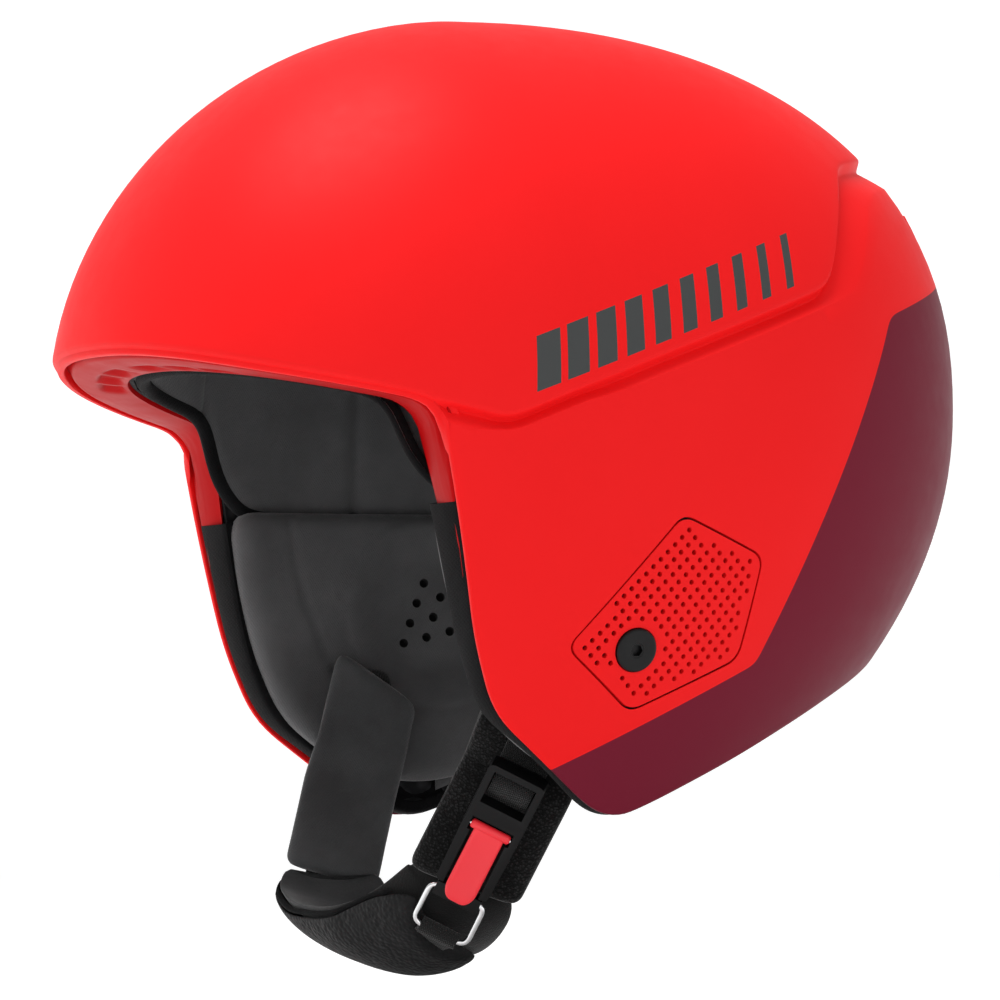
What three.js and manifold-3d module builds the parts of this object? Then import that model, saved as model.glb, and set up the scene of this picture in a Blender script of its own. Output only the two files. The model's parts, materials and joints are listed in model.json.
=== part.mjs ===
// A ski racing helmet with its chin strap closed. Millimetres, +Z up, the face
// opening towards -Y and the wearer's left towards +X. The origin is the middle
// of the head cavity, where the head holds the helmet.

import * as THREE from "three";
import { mergeVertices } from "three/addons/utils/BufferGeometryUtils.js";
import Module from "manifold-3d";

const wasm = await Module();
wasm.setup();

// ---- Driving dimensions -------------------------------------------------

const GAP = 0.3; // between pieces that touch on the real helmet
const PLANE_REACH = 140; // half length of the tools that cut straight across

// Outer skin: level sections are superellipses about a centre behind the origin.
const SKIN = {
  centreY: -17,
  halfWidth: 112,
  front: 119.5,
  back: 158,
  beltZ: 28, // height of the widest section
  topZ: 144.3,
  bottomZ: -112,
  plan: 2.2, // superellipse power of a level section
  domeFront: 1.93, // superellipse powers of the dome's profile
  domeSide: 1.95,
  domeBack: 2.32,
  tuckBack: 0.133, // how far the skin has drawn in...
  tuckBackDrop: 67.5, // ...this far below the belt
  tuckSide: 0.214,
  tuckSideDrop: 116,
  tuckFront: 0.1,
};

const SHELL_THICKNESS = 2.5;
const CROWN_STEP = 3.2; // height of the raised crown's edge
const FOAM_INNER = 24; // depth of the foam's inner face below the skin
const FOAM_INNER_LOW = 15; // the same at the bottom of the ear flaps
const FOAM_THINNING = 1.8; // how fast it thins below the belt
const RIM_WIDTH = 2.6;
const LINER = 6; // comfort padding on the foam
const EAR_PAD = 12;
const EAR_RECESS_R = 24;
const EAR_RECESS_FLOOR = 23; // depth of the ear hollow's floor below the skin

// Side view outlines, as [y, z] from the brow backwards.
const EDGE = [
  [-170, 49], [-136, 41], [-111, 33.5], [-93, 29.3], [-64, 22.8], [-58, -8],
  [-51, -44], [-43, -66], [-22.4, -82.5], [-8, -93.8], [2, -96], [12.4, -92],
  [42.2, -78.8], [84.5, -58.5], [112, -46.5], [170, -40],
];
const RIDGE = [
  [-170, 49], [-128, 38.5], [-93, 30.4], [-67, 24.2], [-44.6, 18.6], [-30, 24.6],
  [6, 38.8], [64.6, 60.6], [69, 68.8], [72, 76.6], [82.5, 99.5], [117, 106],
  [170, 112],
];
const CREASE = [
  [-170, 43], [-128, 32.5], [-93, 24.4], [-67, 18.2], [-47.4, 14], [8.8, 35.4],
  [73.6, 58.1], [79, 63.9], [85, 76], [92.4, 91], [124, 98], [170, 102],
];

// The padding's side view outlines.
const HEAD_LINER = [[-140, 0], [-50, -2], [48, -2], [62, -30], [150, -34], [150, 150], [-140, 150]];
const NECK_ROLL = [[60, -34], [64, -35.5], [150, -39], [150, -75], [60, -90]];
const EAR_PAD_OUTLINE = [
  [-53, -3], [45, -3], [57, -36], [42, -74], [8, -84],
  [-15, -81], [-28, -73.5], [-40, -61.5], [-51, -28],
];

// Ear vent covers: a five-sided panel round the chin guard's screw.
const COVER = [[11, -7.8], [40.2, -19.6], [35.4, -49.9], [-0.9, -65.7], [-23.5, -47.1]];
const COVER_CORNER = 6;
const COVER_THICKNESS = 2.2;
const COVER_HOLE = 1.6;
const COVER_PITCH = 13; // this coarse grid stands for the fine one
const SCREW_AT = [-1, -47.5];
const SCREW_HEAD_R = 6.3;
const SCREW_HEAD = 2.4;
const SCREW_SHANK_R = 2.5;
const SCREW_SEAT = -1.1; // the head's underside, from the skin
const SCREW_LENGTH = 11;
const SOCKET_R = 2.3;
const INSERT = { r: 6, flangeR: 8, foot: -14, flangeZ: [-7.5, -6] };
const EAR_AT = [11, -32];
const EAR_HOLE_R = 17;

// Chin strap, in a frame on each side: X down the strap, Y across, Z outwards.
const LEFT_STRAP = {
  at: [66, -20.3, -79.5],
  along: [-0.542, -0.217, -0.813],
  across: [0.347, 0.82, -0.45],
};
const RIGHT_STRAP = {
  at: [-64, -22, -83],
  along: [0.489, -0.386, -0.782],
  across: [-0.304, -0.92, 0.264],
};
const WEB_WIDTH = 15;
const WEB_THICKNESS = 1.3;
const LEFT_PAD_WIDTH = 32;
const RIGHT_PAD_WIDTH = 29;
const PAD_THICKNESS = 5;
const LEFT_LENGTH = 42.5; // fold to the buckle's mouth
const RIGHT_LENGTH = 37;
const FOLD_GAP = 0.6; // half the gap where the strap folds at the flap's edge
const PAD_FOLD_GAP = 3.2; // the thick pads need more

const HOUSING = {
  width: 18,
  start: 1.5,
  waist: 18, // from here it narrows by a taper each side to its mouth
  taper: 0.6,
  corner: 1.6,
  base: WEB_THICKNESS + 2 * GAP,
  floor: 4,
  top: 9.5,
  window: [3.5, 14],
  windowHalf: 6.8,
  windowFloor: 1.4,
};
const PIN_BORE = 0.06; // clearance round every pin
const OPEN = 5; // how far a tool runs past an open face
const LEVER = {
  pivotX: 21.5,
  pivotZ: 8.6,
  width: 10.5,
  bar: 12.6,
  barR: 1.4,
  pin: 0.7,
  length: 22,
  thickness: 1.8,
  corner: 4,
  behind: 2.4, // what the pocket clears behind the pivot
};
const SPRING = { back: 26, foot: 36, tip: 33, half: 2, thickness: 0.5, clear: 0.4 };
const WIRE_R = 0.8;
const RING = { upper: 46, lower: 60, width: 17.4, z: 5, corner: 1.2 };
const TONGUE = { start: 43.9, end: 48.4, width: 14.4, z: [2.4, 7.2] };

const TOP_PAD_LENGTH = 26; // what of each strap pad lies inside the helmet
const TOP_PAD_TO = [70, -12, -53]; // what it leans towards, on the left
const WEB_SLIT = [[79.9, -18.5, -47], [78, -16, -48.5], [74, -13, -50.5]]; // in through the ear pad
const SLIT_CLEAR = 0.4;
const WEB_SHORT = 3; // what the left webbing stops short of the buckle's mouth
const ANCHOR = { at: [84.7, -19, -36], faces: [1, -0.04, -0.2], half: 10, low: -6, high: 5, reach: 0.9 };

// Chin cup, by the points of its middle line from the buckle to the right strap.
const CUP = { width: 37, curl: 5, shell: 1.8, lining: 3.4, webGap: 0.9 };
const CUP_HINGE_GAP = 3.5;
const CUP_PATH = [[23, -35.5, -131.5], [0, -39, -135.6], [-24, -40, -131], [-38, -39.5, -122.5]];
const CUP_STARTS = [45, 53]; // along the left strap
const CUP_SHELL_START = 63.6;
const CUP_LOW = -0.6; // under the left strap's line

// Goggle strap holder at the middle of the back: a rubber arm on a pin, lying close
// over the shell. [height, clearance under the arm] down the arm.
const ARM = {
  bow: [[79.1, 1.4], [72, 1.6], [62, 2.1], [48, 2.2], [37, 1.9], [26, 1.6]],
  topHalf: 12,
  endHalf: 8,
  thickness: 2.2,
};
const ARM_PIN = { z: 80, stand: 2.6, radius: 1, knuckle: 2.1, half: 15.5 };
const CLIP_BASE = { low: 75.5, high: 87, half: 16.5, proud: 4.6 };
const CATCH = { low: 28, high: 33, half: 6, proud: 1.3 };

// ---- Solids ---------------------------------------------------------------

function solidOf(geometry) {
  const bare = geometry.index ? geometry.toNonIndexed() : geometry.clone();
  for (const name of Object.keys(bare.attributes))
    if (name !== "position") bare.deleteAttribute(name);
  const merged = mergeVertices(bare, 1e-4);
  return new wasm.Manifold(
    new wasm.Mesh({
      numProp: 3,
      vertProperties: merged.attributes.position.array,
      triVerts: new Uint32Array(merged.index.array),
    }),
  );
}

function geometryOf(solid) {
  const mesh = solid.getMesh();
  return new THREE.BufferGeometry()
    .setAttribute("position", new THREE.BufferAttribute(mesh.vertProperties, 3))
    .setIndex(new THREE.BufferAttribute(mesh.triVerts, 1));
}

// Joins rings of points into one closed surface. A ring of one point is a tip;
// a first or last ring of more points is closed by a fan to its middle.
function loft(rings, closed = false) {
  const rows = rings.map((ring) => [...ring]);
  if (!closed)
    for (const [end, put] of [[rows[0], "unshift"], [rows.at(-1), "push"]])
      if (end.length > 1) {
        const middle = new THREE.Vector3();
        end.forEach((p) => middle.addScaledVector(p, 1 / end.length));
        rows[put]([middle]);
      }
  const count = Math.max(...rows.map((row) => row.length));
  const positions = [];
  const corner = (row, i) => row[row.length === 1 ? 0 : i % count];
  const pairs = closed ? rows.length : rows.length - 1;
  for (let r = 0; r < pairs; r++) {
    const low = rows[r];
    const high = rows[(r + 1) % rows.length];
    for (let i = 0; i < count; i++) {
      const a = corner(low, i);
      const b = corner(low, i + 1);
      const c = corner(high, i + 1);
      const d = corner(high, i);
      if (low.length > 1) positions.push(...a, ...b, ...c);
      if (high.length > 1) positions.push(...a, ...c, ...d);
    }
  }
  const surface = new THREE.BufferGeometry().setAttribute(
    "position",
    new THREE.Float32BufferAttribute(positions, 3),
  );
  const made = solidOf(surface);
  return made.volume() > 0 ? made : loft(rings.map((ring) => [...ring].reverse()), closed);
}

const join = (...solids) => solids.reduce((a, b) => a.add(b));
const cut = (solid, ...tools) => tools.reduce((a, b) => a.subtract(b), solid);

function transformed(geometry, matrix) {
  return solidOf(geometry.clone().applyMatrix4(matrix));
}

function box(x, y, z, matrix = new THREE.Matrix4()) {
  const geometry = new THREE.BoxGeometry(x[1] - x[0], y[1] - y[0], z[1] - z[0]);
  geometry.translate((x[0] + x[1]) / 2, (y[0] + y[1]) / 2, (z[0] + z[1]) / 2);
  return transformed(geometry, matrix);
}

// A rod from z0 to z1 along the Z axis of a frame.
function rod(radius, z0, z1, matrix = new THREE.Matrix4(), sides = 12) {
  const geometry = new THREE.CylinderGeometry(radius, radius, z1 - z0, sides);
  geometry.rotateX(Math.PI / 2).translate(0, 0, (z0 + z1) / 2);
  return transformed(geometry, matrix);
}

// ---- Outlines -------------------------------------------------------------

// Rounds each inner corner of an open or closed outline by a curve of that reach.
function rounded(points, reach, closed = true, steps = 4) {
  const made = [];
  const count = points.length;
  points.forEach(([x, y], i) => {
    if (!closed && (i === 0 || i === count - 1)) {
      made.push([x, y]);
      return;
    }
    const [from, to] = [points[(i + count - 1) % count], points[(i + 1) % count]].map(([px, py]) => {
      const length = Math.hypot(px - x, py - y);
      const share = Math.min(reach, length / 2.2) / length;
      return [x + (px - x) * share, y + (py - y) * share];
    });
    for (let k = 0; k <= steps; k++) {
      const t = k / steps;
      made.push([0, 1].map((a) => (1 - t) ** 2 * from[a] + 2 * t * (1 - t) * [x, y][a] + t * t * to[a]));
    }
  });
  return made;
}

// Moves an open outline sideways, to its left as it is walked.
function shifted(points, distance) {
  return points.map(([x, y], i) => {
    const [ax, ay] = points[Math.max(i - 1, 0)];
    const [bx, by] = points[Math.min(i + 1, points.length - 1)];
    const length = Math.hypot(bx - ax, by - ay);
    return [x - ((by - ay) / length) * distance, y + ((bx - ax) / length) * distance];
  });
}

const shapeOf = (points) => new THREE.Shape(points.map(([x, y]) => new THREE.Vector2(x, y)));

// A side view outline [y, z] as a solid that reaches from x0 to x1.
function sideSolid(points, x0 = -PLANE_REACH, x1 = PLANE_REACH) {
  const geometry = new THREE.ExtrudeGeometry(shapeOf(points), {
    depth: x1 - x0,
    bevelEnabled: false,
  });
  geometry.translate(0, 0, x0);
  const turn = new THREE.Matrix4().makeBasis(
    new THREE.Vector3(0, 1, 0),
    new THREE.Vector3(0, 0, 1),
    new THREE.Vector3(1, 0, 0),
  );
  return transformed(geometry, turn);
}

// All that lies above the helmet's edge, moved in from it by a distance.
const aboveEdge = (distance) =>
  sideSolid([...rounded(shifted(EDGE, distance), 9, false, 2), [180, 170], [-180, 170]]);

function heightOn(line, y) {
  const i = Math.max(1, line.findIndex((p) => p[0] >= y));
  const [[y0, z0], [y1, z1]] = [line[i - 1], line[i]];
  return z0 + ((z1 - z0) * (y - y0)) / (y1 - y0);
}

// ---- The skin ---------------------------------------------------------------

// A point of the skin, pushed in by a depth. angle: 0 at the brow, a quarter turn
// at the left ear. level: 1 at the top, 0 at the belt, -1 at the bottom.
function skin(angle, level, depth = 0) {
  const side = Math.sin(angle);
  const ahead = Math.cos(angle);
  const front = Math.max(ahead, 0) ** 2;
  const back = Math.max(-ahead, 0) ** 2;
  const beside = 1 - front - back;
  let ring;
  let z;
  if (level >= 0) {
    const power = front * SKIN.domeFront + beside * SKIN.domeSide + back * SKIN.domeBack;
    const up = Math.sin((level * Math.PI) / 2);
    ring = Math.max(1 - up ** power, 0) ** (1 / power);
    z = SKIN.beltZ + (SKIN.topZ - SKIN.beltZ - depth) * up;
  } else {
    z = SKIN.beltZ + level * (SKIN.beltZ - SKIN.bottomZ);
    const drop = SKIN.beltZ - z;
    ring =
      1 -
      back * SKIN.tuckBack * (drop / SKIN.tuckBackDrop) ** 2.1 -
      beside * SKIN.tuckSide * (drop / SKIN.tuckSideDrop) ** 2 -
      front * SKIN.tuckFront * (drop / SKIN.tuckSideDrop) ** 2;
  }
  const reach = (ahead > 0 ? SKIN.front : SKIN.back) - depth;
  const radius =
    ring *
    (Math.abs(side / (SKIN.halfWidth - depth)) ** SKIN.plan +
      Math.abs(ahead / reach) ** SKIN.plan) **
      (-1 / SKIN.plan);
  return new THREE.Vector3(radius * side, SKIN.centreY - radius * ahead, z);
}

// The level where a side view line crosses the skin at an angle.
function levelOf(line, angle) {
  let [low, high] = [-1, 1];
  for (let i = 0; i < 40; i++) {
    const middle = (low + high) / 2;
    const p = skin(angle, middle);
    if (p.z > heightOn(line, p.y)) high = middle;
    else low = middle;
  }
  return high;
}

const SKIN_SIDES = 36;
const DOME_FLOOR = -1.05;
const around = (sides, f) =>
  Array.from({ length: sides }, (_, i) => f((i * 2 * Math.PI) / sides));
const between = (a, b, steps) =>
  Array.from({ length: steps }, (_, i) => a + ((b - a) * (i + 1)) / steps);

// A body turned about the Z axis from a profile of [radius, z].
const turned = (profile, sides = 12) =>
  loft(
    profile.map(([radius, z]) =>
      radius > 0
        ? around(sides, (turn) => new THREE.Vector3(radius * Math.cos(turn), radius * Math.sin(turn), z))
        : [new THREE.Vector3(0, 0, z)],
    ),
  );

// A dome with the skin's shape at a depth, which may change with level.
function dome(depth, rowsUp = 7, rowsDown = 5) {
  const at = typeof depth === "function" ? depth : () => depth;
  const levels = [...between(1, 0, rowsUp), ...between(0, DOME_FLOOR, rowsDown)];
  return loft([
    [skin(0, 1, at(1))],
    ...levels.map((level) => around(SKIN_SIDES, (angle) => skin(angle, level, at(level)))),
  ]);
}

// The same with the step round the raised crown and the shallow trough outside
// it. lead: how far above the crown's edge the drop into the step begins.
function steppedDome(depth, lead = 0) {
  const crownRows = 6;
  const lowRows = 4;
  const lines = around(SKIN_SIDES, (angle) => {
    const ridge = levelOf(RIDGE, angle);
    const crease = Math.min(levelOf(CREASE, angle), ridge - 0.03);
    return [
      ...between(1, ridge + lead, crownRows).map((level) => skin(angle, level, depth)),
      skin(angle, ridge - 0.012, depth + CROWN_STEP),
      ...between(crease - lead, DOME_FLOOR, lowRows).map((level) => skin(angle, level, depth)),
    ];
  });
  const rows = lines[0].map((_, row) => lines.map((line) => line[row]));
  return loft([[skin(0, 1, depth)], ...rows]);
}

// The frame of a spot on the skin given in side view: Z along the outward normal.
function spot([y, z], side, depth = 0) {
  const level = z < SKIN.beltZ ? (z - SKIN.beltZ) / (SKIN.beltZ - SKIN.bottomZ) : 0;
  let [low, high] = [0, Math.PI];
  for (let i = 0; i < 40; i++) {
    const middle = (low + high) / 2;
    if (skin(middle, level).y < y) low = middle;
    else high = middle;
  }
  const p = skin(low, level, depth);
  const turned = skin(low + 0.01, level, depth).sub(p);
  const lowered = skin(low, level - 0.01, depth).sub(p);
  const normal = lowered.cross(turned).normalize();
  if (normal.x < 0) normal.negate();
  const mirror = new THREE.Vector3(side, 1, 1);
  return frame(p.multiply(mirror), normal.multiply(mirror), new THREE.Vector3(0, 0, 1));
}

// A frame at a point, Z along one direction, Y as near as can be to another.
function frame(point, z, yHint) {
  const x = new THREE.Vector3().crossVectors(yHint, z).normalize();
  const y = new THREE.Vector3().crossVectors(z, x).normalize();
  return new THREE.Matrix4().makeBasis(x, y, z).setPosition(point);
}

function strapFrame({ at, along, across }) {
  const x = new THREE.Vector3(...along).normalize();
  const hint = new THREE.Vector3(...across);
  const z = new THREE.Vector3().crossVectors(x, hint).normalize();
  const y = new THREE.Vector3().crossVectors(z, x);
  return new THREE.Matrix4().makeBasis(x, y, z).setPosition(...at);
}

// ---- Materials --------------------------------------------------------------

const LOOKS = {
  red: [0xe82426, 0.42, 0],
  redRim: [0xc81c1e, 0.25, 0],
  leverRed: [0xff4148, 0.4, 0],
  foam: [0x2b2b2d, 0.9, 0],
  knit: [0x333537, 0.95, 0],
  fuzzy: [0x232323, 1, 0],
  webbing: [0x141414, 0.85, 0],
  leather: [0x262626, 0.6, 0],
  blackPlastic: [0x2d2d2d, 0.5, 0],
  rubber: [0x161616, 0.7, 0],
  steel: [0xdddddd, 0.15, 1],
  blackSteel: [0x1a1a1a, 0.4, 0.6],
  brass: [0xb08a3c, 0.35, 1],
};
const materials = Object.fromEntries(
  Object.entries(LOOKS).map(([name, [color, roughness, metalness]]) => [
    name,
    new THREE.MeshStandardMaterial({ color, roughness, metalness }),
  ]),
);

const group = new THREE.Group();

function piece(name, look, solid, place = null) {
  const mesh = new THREE.Mesh(geometryOf(solid), materials[look]);
  mesh.name = name;
  if (place) place.add(mesh);
  else group.add(mesh);
}

function placed(matrix) {
  const holder = new THREE.Group();
  holder.applyMatrix4(matrix);
  group.add(holder);
  return holder;
}

// ---- Shell, rim and foam ------------------------------------------------------

const STEP_LEAD = 0.03; // inner faces turn into the step this much earlier
// The foam thins towards the bottom of the ear flaps.
const foamInner = (level) =>
  FOAM_INNER - (FOAM_INNER - FOAM_INNER_LOW) * Math.min(1, Math.max(0, -level) * FOAM_THINNING);
const coverOutline = rounded(COVER, COVER_CORNER, true, 2);
const coverGrown = (grow) => {
  const middle = COVER.reduce(([sy, sz], [y, z]) => [sy + y / 5, sz + z / 5], [0, 0]);
  return coverOutline.map(([y, z]) => {
    const reach = Math.hypot(y - middle[0], z - middle[1]);
    return [y, z].map((v, a) => middle[a] + ((v - middle[a]) * (reach + grow)) / reach);
  });
};
const sides = [["left", 1], ["right", -1]];
const sideSpan = (side) => (side > 0 ? [40, PLANE_REACH] : [-PLANE_REACH, -40]);

const outerSkin = steppedDome(0);
const foamSkin = steppedDome(SHELL_THICKNESS + GAP, STEP_LEAD);
const foamHollow = dome(foamInner);

let shell = outerSkin
  .subtract(steppedDome(SHELL_THICKNESS, STEP_LEAD))
  .intersect(aboveEdge(0));
let foam = foamSkin.subtract(foamHollow).intersect(aboveEdge(RIM_WIDTH + GAP));
const rimBand = foamSkin
  .subtract(dome((level) => foamInner(level) - 1))
  .intersect(cut(aboveEdge(0.6), aboveEdge(RIM_WIDTH)));
const rimEndY = -8; // the hard rim runs down the face opening and ends under the ear
const behind = (y, keepFront) =>
  keepFront
    ? box([-PLANE_REACH, PLANE_REACH], [-200, y], [-200, 200])
    : box([-PLANE_REACH, PLANE_REACH], [y, 200], [-200, 200]);

for (const [name, side] of sides) {
  const seat = spot(SCREW_AT, side);
  const ear = spot(EAR_AT, side);
  const through = rod(SCREW_SHANK_R + GAP, -20, 5, seat);
  const cover = outerSkin
    .subtract(steppedDome(COVER_THICKNESS, STEP_LEAD))
    .intersect(sideSolid(coverGrown(-0.4), ...sideSpan(side)));
  const headPocket = rod(SCREW_HEAD_R + GAP, -1.4, 6, seat, 20);
  const holes = [];
  for (let row = -2; row <= 2; row++)
    for (let column = -2; column <= 2; column++) {
      const y = EAR_AT[0] + COVER_PITCH * (column + (row % 2 ? 0.5 : 0));
      const z = EAR_AT[1] + COVER_PITCH * 0.87 * row;
      const inside = insideOutline(coverGrown(-4.5), y, z);
      const clear = Math.hypot(y - SCREW_AT[0], z - SCREW_AT[1]) > SCREW_HEAD_R + 4;
      if (inside && clear) holes.push(rod(COVER_HOLE, -8, 5, spot([y, z], side), 6));
    }
  piece(`${name}_ear_vent_cover`, "red", cut(cover, headPocket, through, ...holes));

  shell = cut(shell, sideSolid(coverOutline, ...sideSpan(side)), through);
  const bore = SCREW_SHANK_R + GAP;
  const insert = turned([
    [0, INSERT.foot],
    [INSERT.r, INSERT.foot],
    [INSERT.r, INSERT.flangeZ[0]],
    [INSERT.flangeR, INSERT.flangeZ[0]],
    [INSERT.flangeR, INSERT.flangeZ[1]],
    [bore, INSERT.flangeZ[1]],
    [bore, INSERT.foot + 1.5],
    [0, INSERT.foot + 1.5],
  ]);
  foam = cut(
    foam,
    rod(INSERT.r + GAP, INSERT.foot - GAP, 5, seat),
    rod(INSERT.flangeR + GAP, INSERT.flangeZ[0] - GAP, 5, seat),
    rod(EAR_HOLE_R, -60, 10, ear, 16),
  );
  piece(`${name}_chin_guard_insert`, "brass", transformed(geometryOf(insert), seat));
  const screw = turned(
    [
      [0, -SCREW_LENGTH],
      [SCREW_SHANK_R, -SCREW_LENGTH],
      [SCREW_SHANK_R, SCREW_SEAT],
      [SCREW_HEAD_R, SCREW_SEAT],
      [SCREW_HEAD_R, SCREW_SEAT + SCREW_HEAD],
      [0, SCREW_SEAT + SCREW_HEAD],
    ],
    18,
  );
  const socketed = cut(screw, rod(SOCKET_R, 0, 5, new THREE.Matrix4(), 6));
  piece(`${name}_chin_guard_screw`, "blackSteel", transformed(geometryOf(socketed), seat));
}

function insideOutline(points, y, z) {
  let inside = false;
  points.forEach(([y0, z0], i) => {
    const [y1, z1] = points[(i + 1) % points.length];
    if (z0 > z !== z1 > z && y < y0 + ((z - z0) * (y1 - y0)) / (z1 - z0)) inside = !inside;
  });
  return inside;
}

piece("outer_shell", "red", shell);
piece("eps_liner", "foam", foam);
piece("face_rim", "redRim", rimBand.intersect(behind(rimEndY, true)));
piece("neck_edge_trim", "rubber", rimBand.intersect(behind(rimEndY + GAP, false)));

// ---- Comfort padding --------------------------------------------------------------

const linerOuter = (level) => foamInner(level) + GAP;
const linerInner = (level) => foamInner(level) + LINER;
const linerBody = dome(linerOuter).subtract(dome(linerInner));
const aboveRim = aboveEdge(RIM_WIDTH + 1.5);
piece("head_liner", "knit", linerBody.intersect(aboveRim).intersect(sideSolid(HEAD_LINER)));
piece("neck_roll_pad", "knit", linerBody.intersect(aboveRim).intersect(sideSolid(NECK_ROLL)));

const earPadOuter = (level) => foamInner(level) + WEB_THICKNESS + 4 * GAP;
const earPadBody = dome(earPadOuter)
  .subtract(dome((level) => earPadOuter(level) + EAR_PAD))
  .intersect(aboveEdge(-1));

// ---- Sheets along a path ------------------------------------------------------------

// A strap, pad or cup wall: a closed sheet laid along a path. Its width runs along
// `across`, its outer face lies `outer` above the path and its inner face `inner`
// below it, and its long edges curl inwards.
function sheet(path, across, width, { outer = 0, inner = 1, curl = 0, cells = 1, steps = 0 }) {
  const curve = new THREE.CatmullRomCurve3(path.map((p) => new THREE.Vector3(...p)), false, "centripetal");
  const count = steps || path.length - 1;
  const rings = [];
  for (let i = 0; i <= count; i++) {
    const t = i / count;
    const centre = steps ? curve.getPoint(t) : new THREE.Vector3(...path[i]);
    const tangent = curve.getTangent(t);
    const hint = across(t);
    const normal = new THREE.Vector3().crossVectors(tangent, hint).normalize();
    const side = new THREE.Vector3().crossVectors(normal, tangent);
    const at = (v, lift) =>
      centre
        .clone()
        .addScaledVector(side, (v * width(t)) / 2)
        .addScaledVector(normal, lift - curl * Math.abs(v) ** 2.5);
    const spread = Array.from({ length: cells + 1 }, (_, k) => (2 * k) / cells - 1);
    rings.push([...spread.map((v) => at(v, outer)), ...spread.reverse().map((v) => at(v, -inner))]);
  }
  return loft(rings);
}

const vector = (list) => new THREE.Vector3(...list);
const constant = (value) => () => value;

// ---- Straps ---------------------------------------------------------------------------

const strapSides = {
  left: { strap: LEFT_STRAP, length: LEFT_LENGTH, side: 1, width: LEFT_PAD_WIDTH },
  right: { strap: RIGHT_STRAP, length: RIGHT_LENGTH, side: -1, width: RIGHT_PAD_WIDTH },
};

for (const [name, { strap, length, side, width }] of Object.entries(strapSides)) {
  const inStrap = strapFrame(strap);
  const local = (x, y, z) => new THREE.Vector3(x, y, z).applyMatrix4(inStrap);
  const across = new THREE.Vector3().setFromMatrixColumn(inStrap, 1);
  const padShape = rounded(
    [[FOLD_GAP, -width / 2], [length, -width / 2], [length, width / 2], [FOLD_GAP, width / 2]],
    5,
    true,
    3,
  );
  const pad = new THREE.ExtrudeGeometry(shapeOf(padShape), { depth: PAD_THICKNESS, bevelEnabled: false });
  piece(`${name}_strap_pad`, "fuzzy", transformed(pad.translate(0, 0, -PAD_THICKNESS), inStrap));
  const webEnd = side > 0 ? length - WEB_SHORT : length;
  piece(
    `${name}_strap_webbing`,
    "webbing",
    box([FOLD_GAP, webEnd], [-WEB_WIDTH / 2, WEB_WIDTH / 2], [GAP, GAP + WEB_THICKNESS], inStrap),
  );

  // Inside the helmet the strap lies on the ear pad, then goes through a slit in
  // it to a plate against the foam.
  const topAcross = across.clone();
  topAcross.x *= 0.2;
  const fold = local(-FOLD_GAP, 0, 0);
  const onSide = ([x, y, z]) => vector([side * x, y, z]);
  const up = onSide(TOP_PAD_TO).sub(fold);
  const padTop = fold.clone().addScaledVector(up, TOP_PAD_LENGTH / up.length());
  const padFoot = fold.clone().addScaledVector(up, PAD_FOLD_GAP / up.length());
  const top = (grow) =>
    sheet([padTop, padFoot], constant(topAcross), constant(width + 2 * grow), {
      outer: grow,
      inner: PAD_THICKNESS + grow,
    });
  piece(`${name}_strap_pad_top`, "fuzzy", top(0));
  const webPath = [
    ...WEB_SLIT.map(onSide),
    padTop.clone().addScaledVector(up, 2.5 / up.length()),
    padTop,
    padFoot,
    fold,
  ];
  const web = (grow) =>
    sheet(webPath, constant(topAcross), constant(WEB_WIDTH + 2 * grow), {
      outer: GAP + WEB_THICKNESS + grow,
      inner: grow - GAP,
    });
  piece(`${name}_anchor_webbing`, "webbing", web(0));
  const plateAt = frame(onSide(ANCHOR.at), onSide(ANCHOR.faces).normalize(), vector([0, 0, 1]));
  const plate = (grow) =>
    box(
      [-ANCHOR.half - grow, ANCHOR.half + grow],
      [ANCHOR.low - grow, ANCHOR.high + grow],
      [-ANCHOR.reach - grow, ANCHOR.reach + grow],
      plateAt,
    );
  piece(`${name}_strap_anchor`, "steel", plate(0));

  const ear = spot(EAR_AT, side);
  const earPad = earPadBody
    .intersect(sideSolid(rounded(EAR_PAD_OUTLINE, 10), ...sideSpan(side)))
    .subtract(rod(EAR_RECESS_R, -60, -EAR_RECESS_FLOOR, ear, 24));
  piece(`${name}_ear_pad`, "knit", cut(earPad, web(SLIT_CLEAR), plate(SLIT_CLEAR), top(SLIT_CLEAR)));
}

// ---- Buckle ---------------------------------------------------------------------------

const inLeft = strapFrame(LEFT_STRAP);
const crossRod = (radius, x, z, half, sides = 16) =>
  rod(radius, -half, half, new THREE.Matrix4().makeRotationX(Math.PI / 2).setPosition(x, 0, z), sides);
const inStrapPlace = placed(inLeft);

const leverHalf = LEVER.width / 2;
const leverClear = 0.5;
const barClear = 0.4;
const pocketBack = LEVER.pivotX - LEVER.behind;
const pocketDepth = [HOUSING.floor, HOUSING.top + OPEN];
const pocket = box(
  [pocketBack, LEFT_LENGTH + OPEN],
  [-leverHalf - leverClear, leverHalf + leverClear],
  pocketDepth,
);
const barPocket = box(
  [pocketBack, LEVER.pivotX + 2],
  [-LEVER.bar / 2 - barClear, LEVER.bar / 2 + barClear],
  pocketDepth,
);
const housingHalf = HOUSING.width / 2;
const mouthHalf = housingHalf - HOUSING.taper;
const housingShape = rounded(
  [
    [HOUSING.start, -housingHalf],
    [HOUSING.waist, -housingHalf],
    [LEFT_LENGTH, -mouthHalf],
    [LEFT_LENGTH, mouthHalf],
    [HOUSING.waist, housingHalf],
    [HOUSING.start, housingHalf],
  ],
  HOUSING.corner,
  true,
  2,
);
const housingBlock = solidOf(
  new THREE.ExtrudeGeometry(shapeOf(housingShape), { depth: HOUSING.top - HOUSING.base, bevelEnabled: false })
    .translate(0, 0, HOUSING.base),
);
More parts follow.
